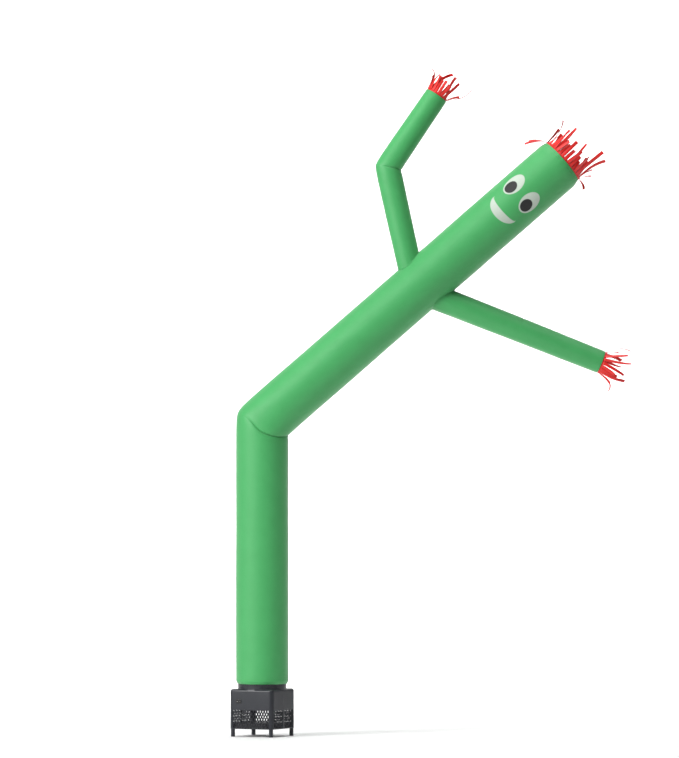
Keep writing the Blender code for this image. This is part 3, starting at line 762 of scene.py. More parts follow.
@dataclass(frozen=True)
class ClothTube:
    """A sewn tube that bends once and is blown up by air."""

    points: tuple[tuple[float, float, float], ...]
    radii: tuple[float, float, float]
    fold: Fold
    start: TubeEnd
    end: TubeEnd
    sides: int
    thickness: float
    row_step: float = 0.009
    fine_step: float = 0.0011
    fine_reach: float = 0.040
    end_zone: float = 0.024
    ripple: float = 0.0005

    def frames(self) -> tuple[np.ndarray, np.ndarray, float, np.ndarray, np.ndarray]:
        """Works out how the two runs lie.

        Returns:
            The two runs' directions, the bend's angle and the inner side of each run.
        """
        start, corner, end = (np.array(point) for point in self.points)
        first = unit(corner - start)
        second = unit(end - corner)
        bend = math.acos(min(1.0, float(first @ second)))
        side = second if bend > math.radians(3) else np.array([0.0, 0.0, 1.0])
        inner = unit(side - (side @ first) * first)
        return first, second, bend, inner, unit(inner - (inner @ second) * second)

    def distances(self, length: float) -> np.ndarray:
        """Rows from a run's open end to its fold: close together at both and wide between."""
        near = np.arange(0.0, self.end_zone, self.fine_step)
        far = length - np.arange(self.fine_reach, 0.0, -self.fine_step)
        count = max(2, round((far[0] - self.end_zone) / self.row_step))
        middle = np.linspace(self.end_zone, far[0], count, endpoint=False)
        return np.concatenate([near, middle, far, [length]])

    def angles(self) -> np.ndarray:
        """Angles round the tube from the inside of its bend."""
        return np.arange(self.sides) * 2 * math.pi / self.sides

    def end_radius(self, end: TubeEnd, away: np.ndarray, angle: np.ndarray) -> np.ndarray:
        """The share of the radius near an open end: 1 less a square that grows towards the
        rim, less a groove at the seam, plus puckers that fade with the distance.

        Args:
            end: The open end's form.
            away: Distances from the open end.
            angle: Angles round the tube, of a shape that goes with the distances.

        Returns:
            The shares.
        """
        gone = np.clip(1 - away / end.reach, 0.0, 1.0)
        inside = (1 + np.cos(angle)) / 2
        share = 1 - (1 - end.share) * gone ** 2 - end.corner * inside ** 4 * gone
        pucker = end.pucker * np.sin(end.pucker_count * angle + 3 * np.sin(2 * angle))
        share = share + pucker * np.exp(-away / (0.6 * end.reach))
        return share - end.seam_depth * ridge(away, end.seam, end.seam_width) * (end.seam > 0)

    def wander(self, along: np.ndarray, angle: np.ndarray) -> np.ndarray:
        """Slow unevenness of the blown-up cloth: a few sines of unlike pitch, of up to ripple."""
        waves = (
            np.sin(9.0 * along + 2.0 * angle)
            + 0.7 * np.sin(17.0 * along - 3.0 * angle + 1.3)
            + 0.5 * np.sin(31.0 * along + 5.0 * angle + 2.1)
        )
        return self.ripple * waves / 2.2

    def run(
        self,
        middle: np.ndarray,
        ring: np.ndarray,
        crease: np.ndarray,
        end: TubeEnd,
        upper: bool,
    ) -> tuple[np.ndarray, np.ndarray]:
        """The rows of one run, from its open end to the crease.

        A row's points lie on the straight lines from the open ring to the crease. Near the
        crease they slip back along the first run by the drop, and move in along their spokes
        by the groove and the rounding, each of which fades with the distance.

        Args:
            middle: Centre of the open ring.
            ring: The open ring's points.
            crease: The crease's points.
            end: The open end's form.
            upper: Whether this run hangs over the crease.

        Returns:
            The points, as rows x sides x 3, and each row's distance from the open end.
        """
        first, _, bend, inner, _ = self.frames()
        angle = self.angles()[:, None]
        cosine, sine = np.cos(angle), np.sin(angle)
        across = np.cross(first, inner)
        spoke = cosine * unit(inner - first * math.tan(bend / 2)) + sine * across
        inside, outside = (1 + cosine) / 2, (1 - cosine) / 2
        corner = np.array(self.points[1])
        length = float(np.linalg.norm(corner - middle))
        away = self.distances(length)
        share = (away / length)[:, None, None]
        fold = self.fold
        near = (length - away)[:, None, None]
        dropped = np.exp(-((near / fold.drop_reach) ** 1.35))
        held = smooth_step(cosine, *fold.held)
        grooved = np.exp(-((near / fold.groove_width) ** 1.2))
        swollen = ridge(near, fold.lip_place, fold.lip_width) * (1 - grooved)
        rounded = np.exp(-near / fold.rounding_reach)
        drop = fold.drop * np.abs(sine) ** 1.5 * held
        groove = fold.groove * held * (1 - 0.75 * inside ** 8)
        lip = fold.lip * held * (1 - 0.6 * inside ** 8)
        centre = middle * (1 - share) + corner * share
        scale = self.end_radius(end, away[:, None], angle.T)[:, :, None]
        points = centre + (ring * (1 - share) + crease * share - centre) * scale
        inwards = groove * grooved + fold.rounding * outside ** 2 * rounded
        if upper:
            hang = fold.lip * fold.hang_share * held * (1 - inside ** 8)
            points = points - first * hang * ridge(near, fold.hang_place, fold.hang_width)
        else:
            second = ridge(near, fold.second_place, fold.second_width)
            inwards = inwards + fold.second_depth * inside ** 6 * second
            lip = lip * fold.lower_lip_share
        outwards = lip * swollen + self.wander(share * length, angle)
        return points - first * drop * dropped + spoke * (outwards - inwards), away

    def rings(self) -> tuple[np.ndarray, np.ndarray]:
        """All rows of the tube.

        Returns:
            The points, as rows x sides x 3, and each row's distance along the cut, which is
            0 at the crease and negative before it.
        """
        first, second, bend, inner, inner_after = self.frames()
        start, corner, end = (np.array(point) for point in self.points)
        angle = self.angles()[:, None]
        cosine, sine = np.cos(angle), np.sin(angle)
        across, across_after = np.cross(first, inner), np.cross(second, inner_after)
        mitre = inner - first * math.tan(bend / 2)
        crease = corner + self.radii[1] * (cosine * mitre + sine * across)
        ring = start + self.radii[0] * (cosine * inner + sine * across)
        last = end + self.radii[2] * (
            cosine * inner_after + sine * (across_after - self.end.tilt * second)
        )
        lower, away = self.run(start, ring, crease, self.start, False)
        upper, away_after = self.run(end, last, crease, self.end, True)
        along = np.concatenate([away - away[-1], (away_after[-1] - away_after)[-2::-1]])
        return np.concatenate([lower, upper[-2::-1]]), along

    def cut_places(self, along: np.ndarray) -> tuple[np.ndarray, np.ndarray]:
        """Places on the flat cut, in metres: across is 0 on the side that faces -Y, and the
        cut's two edges meet behind.

        Args:
            along: Each row's distance along the cut.

        Returns:
            The places of the left and of the right edge of each column of faces.
        """
        first, _, _, inner, _ = self.frames()
        front = -math.copysign(math.pi / 2, float(np.cross(first, inner)[1]))
        turned = np.mod(self.angles() - front + math.pi + 1e-6, 2 * math.pi) - math.pi
        across = np.broadcast_to(turned * self.radii[1], (len(along), self.sides))
        left = np.stack([across, np.broadcast_to(along[:, None], across.shape)], axis=-1)
        step = 2 * math.pi * self.radii[1] / self.sides
        return left, left + np.array([step, 0.0])


@dataclass(frozen=True)
class Fringe:
    """Ribbons drawn out of a narrow band that is sewn just past a tube's open end."""

    name: str
    node: str
    segments: int
    rows: tuple[RibbonRow, ...]
    band_rows: tuple[tuple[float, float], ...] = (
        (-0.0040, -0.0022),
        (-0.0010, -0.0016),
        (0.0012, -0.0006),
        (0.0053, 0.0),
    )
    inset: float = 0.0005
    wave: float = 0.0006
    taper: float = 0.95
    tip_narrowing: float = 0.10
    thickness: float = 0.0006
    steps: int = 26
    across: int = 5
    cup: float = 0.0007

    def build(self, end_ring: np.ndarray, inward_ring: np.ndarray) -> bpy.types.Object:
        """The band and its ribbons as one piece.

        Args:
            end_ring: The tube's last ring, whose first point is on the inside of its bend.
            inward_ring: A ring a little way in.

        Returns:
            The piece, which stands for the fringe's node.
        """
        centre = end_ring.mean(axis=0)
        axis = unit(centre - inward_ring.mean(axis=0))
        radius = float(np.linalg.norm(end_ring - centre, axis=1).mean()) - self.inset
        first = unit(end_ring[0] - centre)
        second = unit(end_ring[len(end_ring) // 4] - centre)
        skins = [self.band(centre, axis, first, second, radius)]
        skins.append(self.ribbons(centre, axis, first, second, radius))
        thing = Skin.joined(skins).piece(self.name, Finish.RIBBON, "red_ribbon")
        add_thickness(thing, self.thickness)
        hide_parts(self.node)
        return thing

    def band(
        self,
        centre: np.ndarray,
        axis: np.ndarray,
        first: np.ndarray,
        second: np.ndarray,
        radius: float,
    ) -> Skin:
        """The band: a ring of rows from just inside the cloth's edge, where it is narrower,
        out to the ribbons' roots, with an edge that waves a little.

        Args:
            centre: Centre of the tube's open end.
            axis: The way out of the open end.
            first: The way from the centre to the first segment.
            second: The way a quarter turn on.
            radius: The band's radius.

        Returns:
            The band.
        """
        angle = np.linspace(0.0, 2 * math.pi, 4 * self.segments, endpoint=False)[None, :, None]
        rows = np.array(self.band_rows)[:, :, None]
        share = np.linspace(0.0, 1.0, len(rows))[:, None, None]
        height = rows[:, :1] + self.wave * np.sin(7 * angle) * share
        reach = radius + rows[:, 1:2]
        grid = centre + axis * height + (np.cos(angle) * first + np.sin(angle) * second) * reach
        cut = np.zeros((len(rows), 4 * self.segments, 2))
        cut[..., 1] = rows[:, 0]
        return Skin.from_grid(grid, True, (cut, cut + np.array([0.001, 0.0])))

    def ribbons(
        self,
        centre: np.ndarray,
        axis: np.ndarray,
        first: np.ndarray,
        second: np.ndarray,
        radius: float,
    ) -> Skin:
        """All ribbons at once. Each starts along the tube's axis, leaned outwards and swayed
        round the rim. At every step it turns about its own width by a part of its bend that
        grows in line with the step's number, turns about its own length by an even part of
        its twist, and moves on by an even part of its length.

        Args:
            centre: Centre of the tube's open end.
            axis: The way out of the open end.
            first: The way from the centre to the first segment.
            second: The way a quarter turn on.
            radius: The ribbons' distance from the centre at their roots.

        Returns:
            The ribbons.
        """
        segment, length, lean, sway, bend, twist = np.array(self.rows, float).T[:, :, None]
        length = length * MM
        lean, sway, bend, twist = (np.radians(value) for value in (lean, sway, bend, twist))
        middle = segment * 2 * math.pi / self.segments
        radial = np.cos(middle) * first + np.sin(middle) * second
        around = unit(-np.sin(middle) * first + np.cos(middle) * second)
        width = 2 * radius * math.sin(math.pi / self.segments) * self.taper
        along = axis * np.cos(lean) + radial * np.sin(lean)
        normal = radial * np.cos(lean) - axis * np.sin(lean)
        along, around = (
            along * np.cos(sway) + around * np.sin(sway),
            around * np.cos(sway) - along * np.sin(sway),
        )
        point = centre + axis * (self.band_rows[-1][0] * 0.6) + radial * radius
        offset = np.linspace(-0.5, 0.5, self.across)
        rows = []
        for step in range(self.steps + 1):
            share = step / self.steps
            narrow = width * (1 - self.tip_narrowing * share) * offset[None, :, None]
            cupped = self.cup * (1 - 4 * offset ** 2)[None, :, None] * math.sin(math.pi * share)
            rows.append(point[:, None] + around[:, None] * narrow + normal[:, None] * cupped)
            turn = bend * 2 * (step + 1) / (self.steps * (self.steps + 1))
            along, normal = (
                along * np.cos(turn) + normal * np.sin(turn),
                normal * np.cos(turn) - along * np.sin(turn),
            )
            roll = twist / self.steps
            around, normal = (
                around * np.cos(roll) + normal * np.sin(roll),
                normal * np.cos(roll) - around * np.sin(roll),
            )
            point = point + along * length / self.steps
        grids = np.stack(rows, axis=1)
        down = np.linspace(0.0, 1.0, self.steps + 1)[:, None] * length[:, 0].max()
        cut = np.stack(np.broadcast_arrays(width * offset[None, :], down), axis=-1)
        edges = (cut[:, :-1], cut[:, 1:])
        return Skin.joined([Skin.from_grid(grid, False, edges) for grid in grids])


BODY_TUBE = ClothTube(
    points=((0.0, 0.0, 0.1345), (0.0, 0.0, 0.8025), (0.76774, 0.0, 1.47105)),
    radii=(0.0672, 0.0672, 0.0672),
    fold=Fold(0.0226, 0.0038, 0.0060, 0.0008),
    start=TubeEnd(0.930, 0.010, pucker=0.004, pucker_count=44, seam=0.0045),
    end=TubeEnd(0.945, 0.022, tilt=0.10, pucker=0.005, pucker_count=30, seam=0.0065, corner=0.030),
    sides=144,
    thickness=0.0008,
)
LEFT_SLEEVE = ClothTube(
    points=((0.3740, 0.0, 1.2190), (0.3215, 0.008, 1.4572), (0.4465, 0.030, 1.6416)),
    radii=(0.0312, 0.0325, 0.0303),
    fold=Fold(0.0, 0.0026, 0.0035, 0.0004, groove_width=0.0020),
    start=TubeEnd(1.0, 0.02),
    end=TubeEnd(0.985, 0.010, pucker=0.008, pucker_count=18, seam=0.0050),
    sides=72,
    thickness=0.0008,
    row_step=0.006,
    fine_reach=0.035,
    ripple=0.0003,
)
RIGHT_SLEEVE = ClothTube(
    points=((0.4662, 0.0, 1.1165), (0.6672, 0.012, 1.0380), (0.8683, 0.030, 0.9582)),
    radii=(0.0330, 0.0314, 0.0298),
    fold=Fold(0.0, 0.0, 0.0, 0.0),
    start=TubeEnd(1.0, 0.02),
    end=TubeEnd(0.985, 0.010, pucker=0.008, pucker_count=18, seam=0.0050),
    sides=72,
    thickness=0.0008,
    row_step=0.006,
    ripple=0.0003,
)


@dataclass(frozen=True)
class Dancer:
    """The cloth figure: its tube with the printed face, two sleeves and three fringes."""

    body: ClothTube = BODY_TUBE
    left: ClothTube = LEFT_SLEEVE
    right: ClothTube = RIGHT_SLEEVE
    sleeve_gap: float = 0.0001
    back_seam_height: float = 0.0007
    back_seam_width: float = 0.0045
    shoulder_rows: int = 20
    flare: float = 0.0016
    flare_reach: float = 0.02
    gathers: float = 0.0004
    gather_count: int = 16
    axis_reach: float = 0.03
    sleeve_axis_reach: float = 0.02
    head_fringe: Fringe = Fringe("head_ribbons", "head_streamers", 36, HEAD_RIBBONS)
    left_fringe: Fringe = Fringe("left_cuff_ribbons", "left_cuff_streamers", 20, LEFT_CUFF_RIBBONS)
    right_fringe: Fringe = Fringe(
        "right_cuff_ribbons", "right_cuff_streamers", 20, RIGHT_CUFF_RIBBONS
    )

    def build(self) -> list[bpy.types.Object]:
        """Builds every cloth piece.

        Returns:
            The pieces.
        """
        tube, fringe = self.build_body()
        pieces = [tube, fringe]
        for name, sleeve, node, ribbons in (
            ("sleeve_left", self.left, "arm_left", self.left_fringe),
            ("sleeve_right", self.right, "arm_right", self.right_fringe),
        ):
            pieces += self.build_sleeve(name, sleeve, node, ribbons)
        return pieces

    def build_body(self) -> tuple[bpy.types.Object, bpy.types.Object]:
        """The main tube with its back seam, and the head's fringe.

        Returns:
            The tube and the fringe.
        """
        rings, along = self.body.rings()
        angle = self.body.angles()
        back = (angle - math.pi / 2) * self.body.radii[1]
        ridge = self.back_seam_height * np.exp(-((back / self.back_seam_width) ** 4))
        centre = rings.mean(axis=1, keepdims=True)
        rings = rings + unit(rings - centre) * ridge[None, :, None]
        cut = self.body.cut_places(along)
        skin = Skin.from_grid(rings + ORIGIN, True, cut)
        tube = skin.piece("dancer_tube", Finish.BODY, "green_cloth")
        add_thickness(tube, self.body.thickness)
        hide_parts("body_tube")
        inward = int(np.searchsorted(along, along[-1] - self.axis_reach))
        fringe = self.head_fringe.build(rings[-1] + ORIGIN, rings[inward] + ORIGIN)
        return tube, fringe

    def build_sleeve(
        self,
        name: str,
        sleeve: ClothTube,
        node: str,
        ribbons: Fringe,
    ) -> list[bpy.types.Object]:
        """A sleeve, its root fitted to the main tube, and its fringe.

        Args:
            name: The sleeve's name.
            sleeve: Its tube.
            node: The node that it stands for.
            ribbons: Its fringe.

        Returns:
            The sleeve and the fringe.
        """
        rings, along = sleeve.rings()
        corner, end = (np.array(point) for point in self.body.points[1:])
        axis = unit(end - corner)
        count = self.shoulder_rows
        root = self.meet_tube(rings[count], rings[0], corner, axis)
        share = (np.linspace(0.0, 1.0, count) ** 1.6)[:, None, None]
        shoulder = root * (1 - share) + rings[count] * share
        angle = sleeve.angles()[None, :, None]
        gathers = self.gathers * np.sin(self.gather_count * angle) * np.exp(-share / 0.3)
        flare = self.flare * ridge(share, 0.0, self.flare_reach) + gathers
        middle = shoulder.mean(axis=1, keepdims=True)
        shoulder = shoulder + unit(shoulder - middle) * flare
        rings = np.concatenate([shoulder, rings[count + 1:]])
        along = along - along[0]
        along = np.concatenate([np.linspace(0.0, along[count], count), along[count + 1:]])
        cut = sleeve.cut_places(along)
        skin = Skin.from_grid(rings + ORIGIN, True, cut)
        thing = skin.piece(name, Finish.SLEEVE, "green_cloth")
        add_thickness(thing, sleeve.thickness)
        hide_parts(node)
        inward = int(np.searchsorted(along, along[-1] - self.sleeve_axis_reach))
        fringe = ribbons.build(rings[-1] + ORIGIN, rings[inward] + ORIGIN)
        return [thing, fringe]

    def meet_tube(
        self, points: np.ndarray, towards: np.ndarray, corner: np.ndarray, axis: np.ndarray
    ) -> np.ndarray:
        """Moves each point along its own line until it lies just outside the main tube.

        The line p + t * s meets the cylinder where the parts of p and s across the axis give
        (s.s)t^2 + 2(p.s)t + (p.p) = radius^2, at the nearer root.

        Args:
            points: Points outside the tube.
            towards: A point on each line, nearer the tube's axis.
            corner: A point on the tube's axis.
            axis: The tube's direction.

        Returns:
            The points on the tube.
        """
        step = unit(towards - points)
        offset = points - corner
        offset = offset - (offset @ axis)[:, None] * axis
        flat = step - (step @ axis)[:, None] * axis
        square = (flat * flat).sum(1)
        cross = (offset * flat).sum(1)
        rest = (offset * offset).sum(1) - (self.body.radii[1] + self.sleeve_gap) ** 2
        travel = (-cross - np.sqrt(cross * cross - square * rest)) / square
        return points + step * travel[:, None]


@dataclass(frozen=True)
class Blower:
    """The square fan housing that the dancer stands on, in two mirrored halves."""

    half_side: float = 0.0625
    corner: float = 0.010
    leg_height: float = 0.020
    height: float = 0.102
    top_edge: float = 0.006
    wall: float = 0.0028
    collar_radius: float = 0.062
    collar_wall: float = 0.0046
    neck: float = 0.0115
    groove: float = 0.0045
    groove_depth: float = 0.0017
    lip: float = 0.015
    vent_low: float = 0.0225
    vent_high: float = 0.0685
    vent_half_width: float = 0.053
    seam_strip: float = 0.0035
    seam_gap: float = 0.00018
    leg_radius: float = 0.0053
    leg_inset: float = 0.0073
    leg_reach: float = 0.012
    foot_edge: float = 0.0006
    fillet: float = 0.0012
    rim_edge: float = 0.0008

    @property
    def top(self) -> float:
        """Height of the housing's top face."""
        return self.leg_height + self.height

    def place(self, points: np.ndarray) -> np.ndarray:
        """Turns points about the blower's axis and moves them to the frame's place."""
        cosine, sine = math.cos(BLOWER_YAW), math.sin(BLOWER_YAW)
        turn = np.array([[cosine, sine, 0.0], [-sine, cosine, 0.0], [0.0, 0.0, 1.0]])
        return points @ turn + ORIGIN

    def outline(self, angle: np.ndarray, inset: np.ndarray) -> np.ndarray:
        """Distance from the axis to a square with round corners, along an angle.

        On a flat the distance is half / cos of the angle from the flat's middle. On a corner
        it is where the ray meets the corner's circle.

        Args:
            angle: Angles, any shape.
            inset: How far the outline is drawn in, any shape that goes with the angles.

        Returns:
            The distances.
        """
        half = self.half_side - inset
        corner = np.maximum(self.corner - inset, 0.0006)
        turned = np.mod(angle + math.pi / 4, math.pi / 2) - math.pi / 4
        flat = half / np.cos(turned)
        diagonal = math.sqrt(2) * (half - corner)
        off = math.pi / 4 - np.abs(turned)
        under = np.maximum(corner ** 2 - (diagonal * np.sin(off)) ** 2, 0.0)
        bent = diagonal * np.cos(off) + np.sqrt(under)
        return np.where(np.abs(np.tan(turned)) * half > half - corner, bent, flat)

    def half_angles(self) -> np.ndarray:
        """Angles from the middle of the right wall round the front to the middle of the left.

        They fall on the windows' edges, so that whole faces can be left out there.

        Returns:
            The angles, in radians.
        """
        edge, strip = self.vent_half_width, self.seam_strip
        side = np.concatenate([[0.0], np.linspace(strip, edge, 13)])
        front = np.linspace(-edge, edge, 27)
        corner = np.linspace(math.atan(edge / self.half_side), math.pi / 4, 6)[1:]
        quarter = np.concatenate([np.arctan(side / self.half_side), corner])
        second = np.concatenate([math.pi / 2 - corner[-2::-1]])
        middle = math.pi / 2 + np.arctan(front / self.half_side)
        right = np.concatenate([quarter, second, middle])
        left = math.pi - np.concatenate([quarter, second])[::-1]
        return np.concatenate([right, left])

    def profile(self, angle: np.ndarray) -> tuple[np.ndarray, np.ndarray, dict[str, int]]:
        """The shell's closed section at each angle, as distances from the axis and heights.

        It runs up the outside wall, over the top edge's arc and the top, up the collar and
        over its lip, down the bore, under the top and down the inside wall.

        Args:
            angle: The angles round the axis.

        Returns:
            Distances and heights, as rows x angles, and the rows where the windows start.
        """
        rows: list[tuple[np.ndarray, np.ndarray]] = []
        ones = np.ones_like(angle)
        outer = self.outline(angle, 0.0 * ones)
        inner = self.outline(angle, self.wall * ones)
        low = self.top - self.top_edge
        for height in (self.leg_height + self.foot_edge, self.vent_low, self.vent_high, low):
            rows.append((outer, height * ones))
        rows.insert(0, (outer - self.foot_edge, self.leg_height * ones))
        for turn in np.linspace(0.0, math.pi / 2, 9)[1:]:
            inset = self.top_edge * (1 - math.cos(turn))
            reach = self.outline(angle, inset * ones)
            rows.append((reach, (low + self.top_edge * math.sin(turn)) * ones))
        radius, rise = self.collar_radius, self.top + self.neck
        for share in (0.5, 1.0):
            reach = rows[-1][0] * (1 - share) + (radius + self.fillet) * share
            rows.append((np.minimum(reach, rows[-1][0]), self.top * ones))
        rows = self.cut_by_collar(rows, radius)
        lip_low, lip_high = rise + self.groove, rise + self.groove + self.lip
        groove = radius - self.groove_depth
        bore = radius - self.collar_wall
        under = self.top - self.wall
        edge = self.rim_edge
        for reach, height in (
            (radius, self.top + self.fillet),
            (radius, rise),
            (groove, rise),
            (groove, lip_low),
            (radius, lip_low),
            (radius, lip_high - edge),
            (radius - edge, lip_high),
            (bore + edge, lip_high),
            (bore, lip_high - edge),
            (bore, under),
        ):
            rows.append((reach * ones, height * ones))
        for height in (under, self.vent_high, self.vent_low, self.leg_height):
            rows.append((inner, height * ones))
        reach = np.stack([row[0] for row in rows])
        height = np.stack([row[1] for row in rows])
        return reach, height, {"outside": 2, "inside": len(rows) - 3}

    def cut_by_collar(
        self, rows: list[tuple[np.ndarray, np.ndarray]], radius: float
    ) -> list[tuple[np.ndarray, np.ndarray]]:
        """Stops the top edge where the collar stands closer to the wall than the edge is wide.

        A point that would lie inside the collar is moved out to it, down the line to the
        row before.

        Args:
            rows: Distances and heights of each row.
            radius: The collar's radius.

        Returns:
            The rows, none of them inside the collar.
        """
        cut = [rows[0]]
        for (before, low), (reach, height) in zip(rows, rows[1:]):
            span = np.where(before - reach > 1e-9, before - reach, 1.0)
            share = np.clip((before - radius) / span, 0.0, 1.0)
            inside = reach < radius
            lower = low + (height - low) * share
            stop = np.where(before <= radius + 1e-7, cut[-1][1], lower)
            cut.append((np.where(inside, radius, reach), np.where(inside, stop, height)))
        return cut

    def half_shell(self, side: int) -> Skin:
        """One half of the housing, with its windows cut and its two legs.

        Args:
            side: -1 for the front half and 1 for the back half.

        Returns:
            The half, closed.
        """
        angle = self.half_angles()
        reach, height, start = self.profile(angle)
        x = reach * np.cos(angle)
        y = np.maximum(reach * np.sin(angle), self.seam_gap)
        grid = np.stack([x, y, height], axis=-1)
        rows, columns = reach.shape
        loop = np.concatenate([grid, grid[:1]])
        skin = Skin.from_grid(loop, False)
        skin.faces = skin.faces % (rows * columns)
        skin.points = grid.reshape(-1, 3)
        middle = (angle[:-1] + angle[1:]) / 2
        along = np.where(
            np.abs(np.cos(middle)) > math.sqrt(0.5),
            np.tan(middle) * self.half_side,
            self.half_side / np.tan(middle),
        )
        on_side = np.abs(np.cos(middle)) > math.sqrt(0.5)
        wide = np.abs(along) < self.vent_half_width
        window = wide & (~on_side | (np.abs(along) > self.seam_strip))
        gone = np.zeros((rows, columns - 1), bool)
        gone[start["outside"]] = window
        gone[start["inside"]] = window
        skin = skin.without(gone.ravel())
        reveals = self.reveals(window, start, columns)
        ends = self.end_caps(rows, columns)
        faces = skin.faces.tolist() + reveals + ends
        legs = [self.leg(end) for end in (-1, 1)]
        return self.merged(skin.points, faces, legs, side)

    def reveals(
        self, window: np.ndarray, start: dict[str, int], columns: int
    ) -> list[list[int]]:
        """Faces through the wall round each window, from its outer edge to its inner one.

        Args:
            window: Which columns of faces a window takes out.
            start: The rows where the windows start, outside and inside.
            columns: How many points a row has.

        Returns:
            The faces, as lists of points.
        """
        low, high = start["outside"], start["outside"] + 1
        high_in, low_in = start["inside"], start["inside"] + 1
        faces = []
        for column in np.flatnonzero(window):
            after = column + 1
            faces.append([low * columns + column, low * columns + after,
                          low_in * columns + after, low_in * columns + column])
            faces.append([high * columns + after, high * columns + column,
                          high_in * columns + column, high_in * columns + after])
        edges = np.diff(np.concatenate([[False], window, [False]]).astype(int))
        for column in np.flatnonzero(edges):
            face = [low * columns + column, low_in * columns + column,
                    high_in * columns + column, high * columns + column]
            faces.append(face if edges[column] > 0 else face[::-1])
        return faces

    def end_caps(self, rows: int, columns: int) -> list[list[int]]:
        """A flat face over the section at each of the half's two ends."""
        first = [row * columns for row in range(rows)]
        last = [row * columns + columns - 1 for row in range(rows)]
        return [first[::-1], last]

    def leg(self, end: int) -> Skin:
        """A round leg under a corner: a profile of radius and height carried round a circle.

        Args:
            end: -1 for the corner at -X and 1 for the one at +X.

        Returns:
            The leg.
        """
        radius, edge = self.leg_radius, self.rim_edge
        profile = np.array(
            [(0.0, 0.0), (radius - edge, 0.0), (radius, edge), (radius, self.leg_height),
             (radius, self.leg_height + self.leg_reach), (0.0, self.leg_height + self.leg_reach)]
        )
        angle = np.linspace(0.0, 2 * math.pi, 28, endpoint=False)
        place = self.half_side - self.leg_inset
        grid = np.stack(
            [end * place + profile[:, :1] * np.cos(angle),
             place + profile[:, :1] * np.sin(angle),
             np.broadcast_to(profile[:, 1:], (len(profile), len(angle)))],
            axis=-1,
        )
        return Skin.from_grid(grid, True)

    def merged(
        self, points: np.ndarray, faces: list[list[int]], others: list[Skin], side: int
    ) -> Skin:
        """The shell and the legs as one skin, mirrored to the front for the front half.

        Args:
            points: The shell's points.
            faces: The shell's faces.
            others: The legs.
            side: -1 for the front half and 1 for the back half.

        Returns:
            The half.
        """
        total = len(points)
        every = [points]
        for other in others:
            faces = faces + (other.faces + total).tolist()
            every.append(other.points)
            total += len(other.points)
        joined = np.concatenate(every)
        if side < 0:
            joined = joined * np.array([1.0, -1.0, 1.0])
            faces = [face[::-1] for face in faces]
        return Skin(joined, np.array(faces, dtype=object))

    def build(self) -> list[bpy.types.Object]:
        """Builds the two halves, which stand for the housing's nodes.

        Returns:
            The pieces.
        """
        pieces = []
        for name, node, side in (
            ("blower_front_half", "housing_front", -1),
            ("blower_back_half", "housing_back", 1),
        ):
            skin = self.half_shell(side)
            skin.points = self.place(skin.points)
            thing = skin.piece(name, Finish.HOUSING, "black_plastic", smooth=False)
            self.clean(thing)
            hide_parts(node)
            pieces.append(thing)
        return pieces

    def clean(self, thing: bpy.types.Object) -> None:
        """Joins points that fell together and drops faces without width, then shades it."""
        with edited(thing.data) as bm:
            bmesh.ops.remove_doubles(bm, verts=bm.verts, dist=2 * WELD)
            bmesh.ops.dissolve_degenerate(bm, edges=bm.edges, dist=2 * WELD)
            bmesh.ops.recalc_face_normals(bm, faces=bm.faces)
        thing.data.shade_smooth()
        thing.data.set_sharp_from_angle(angle=math.radians(32))


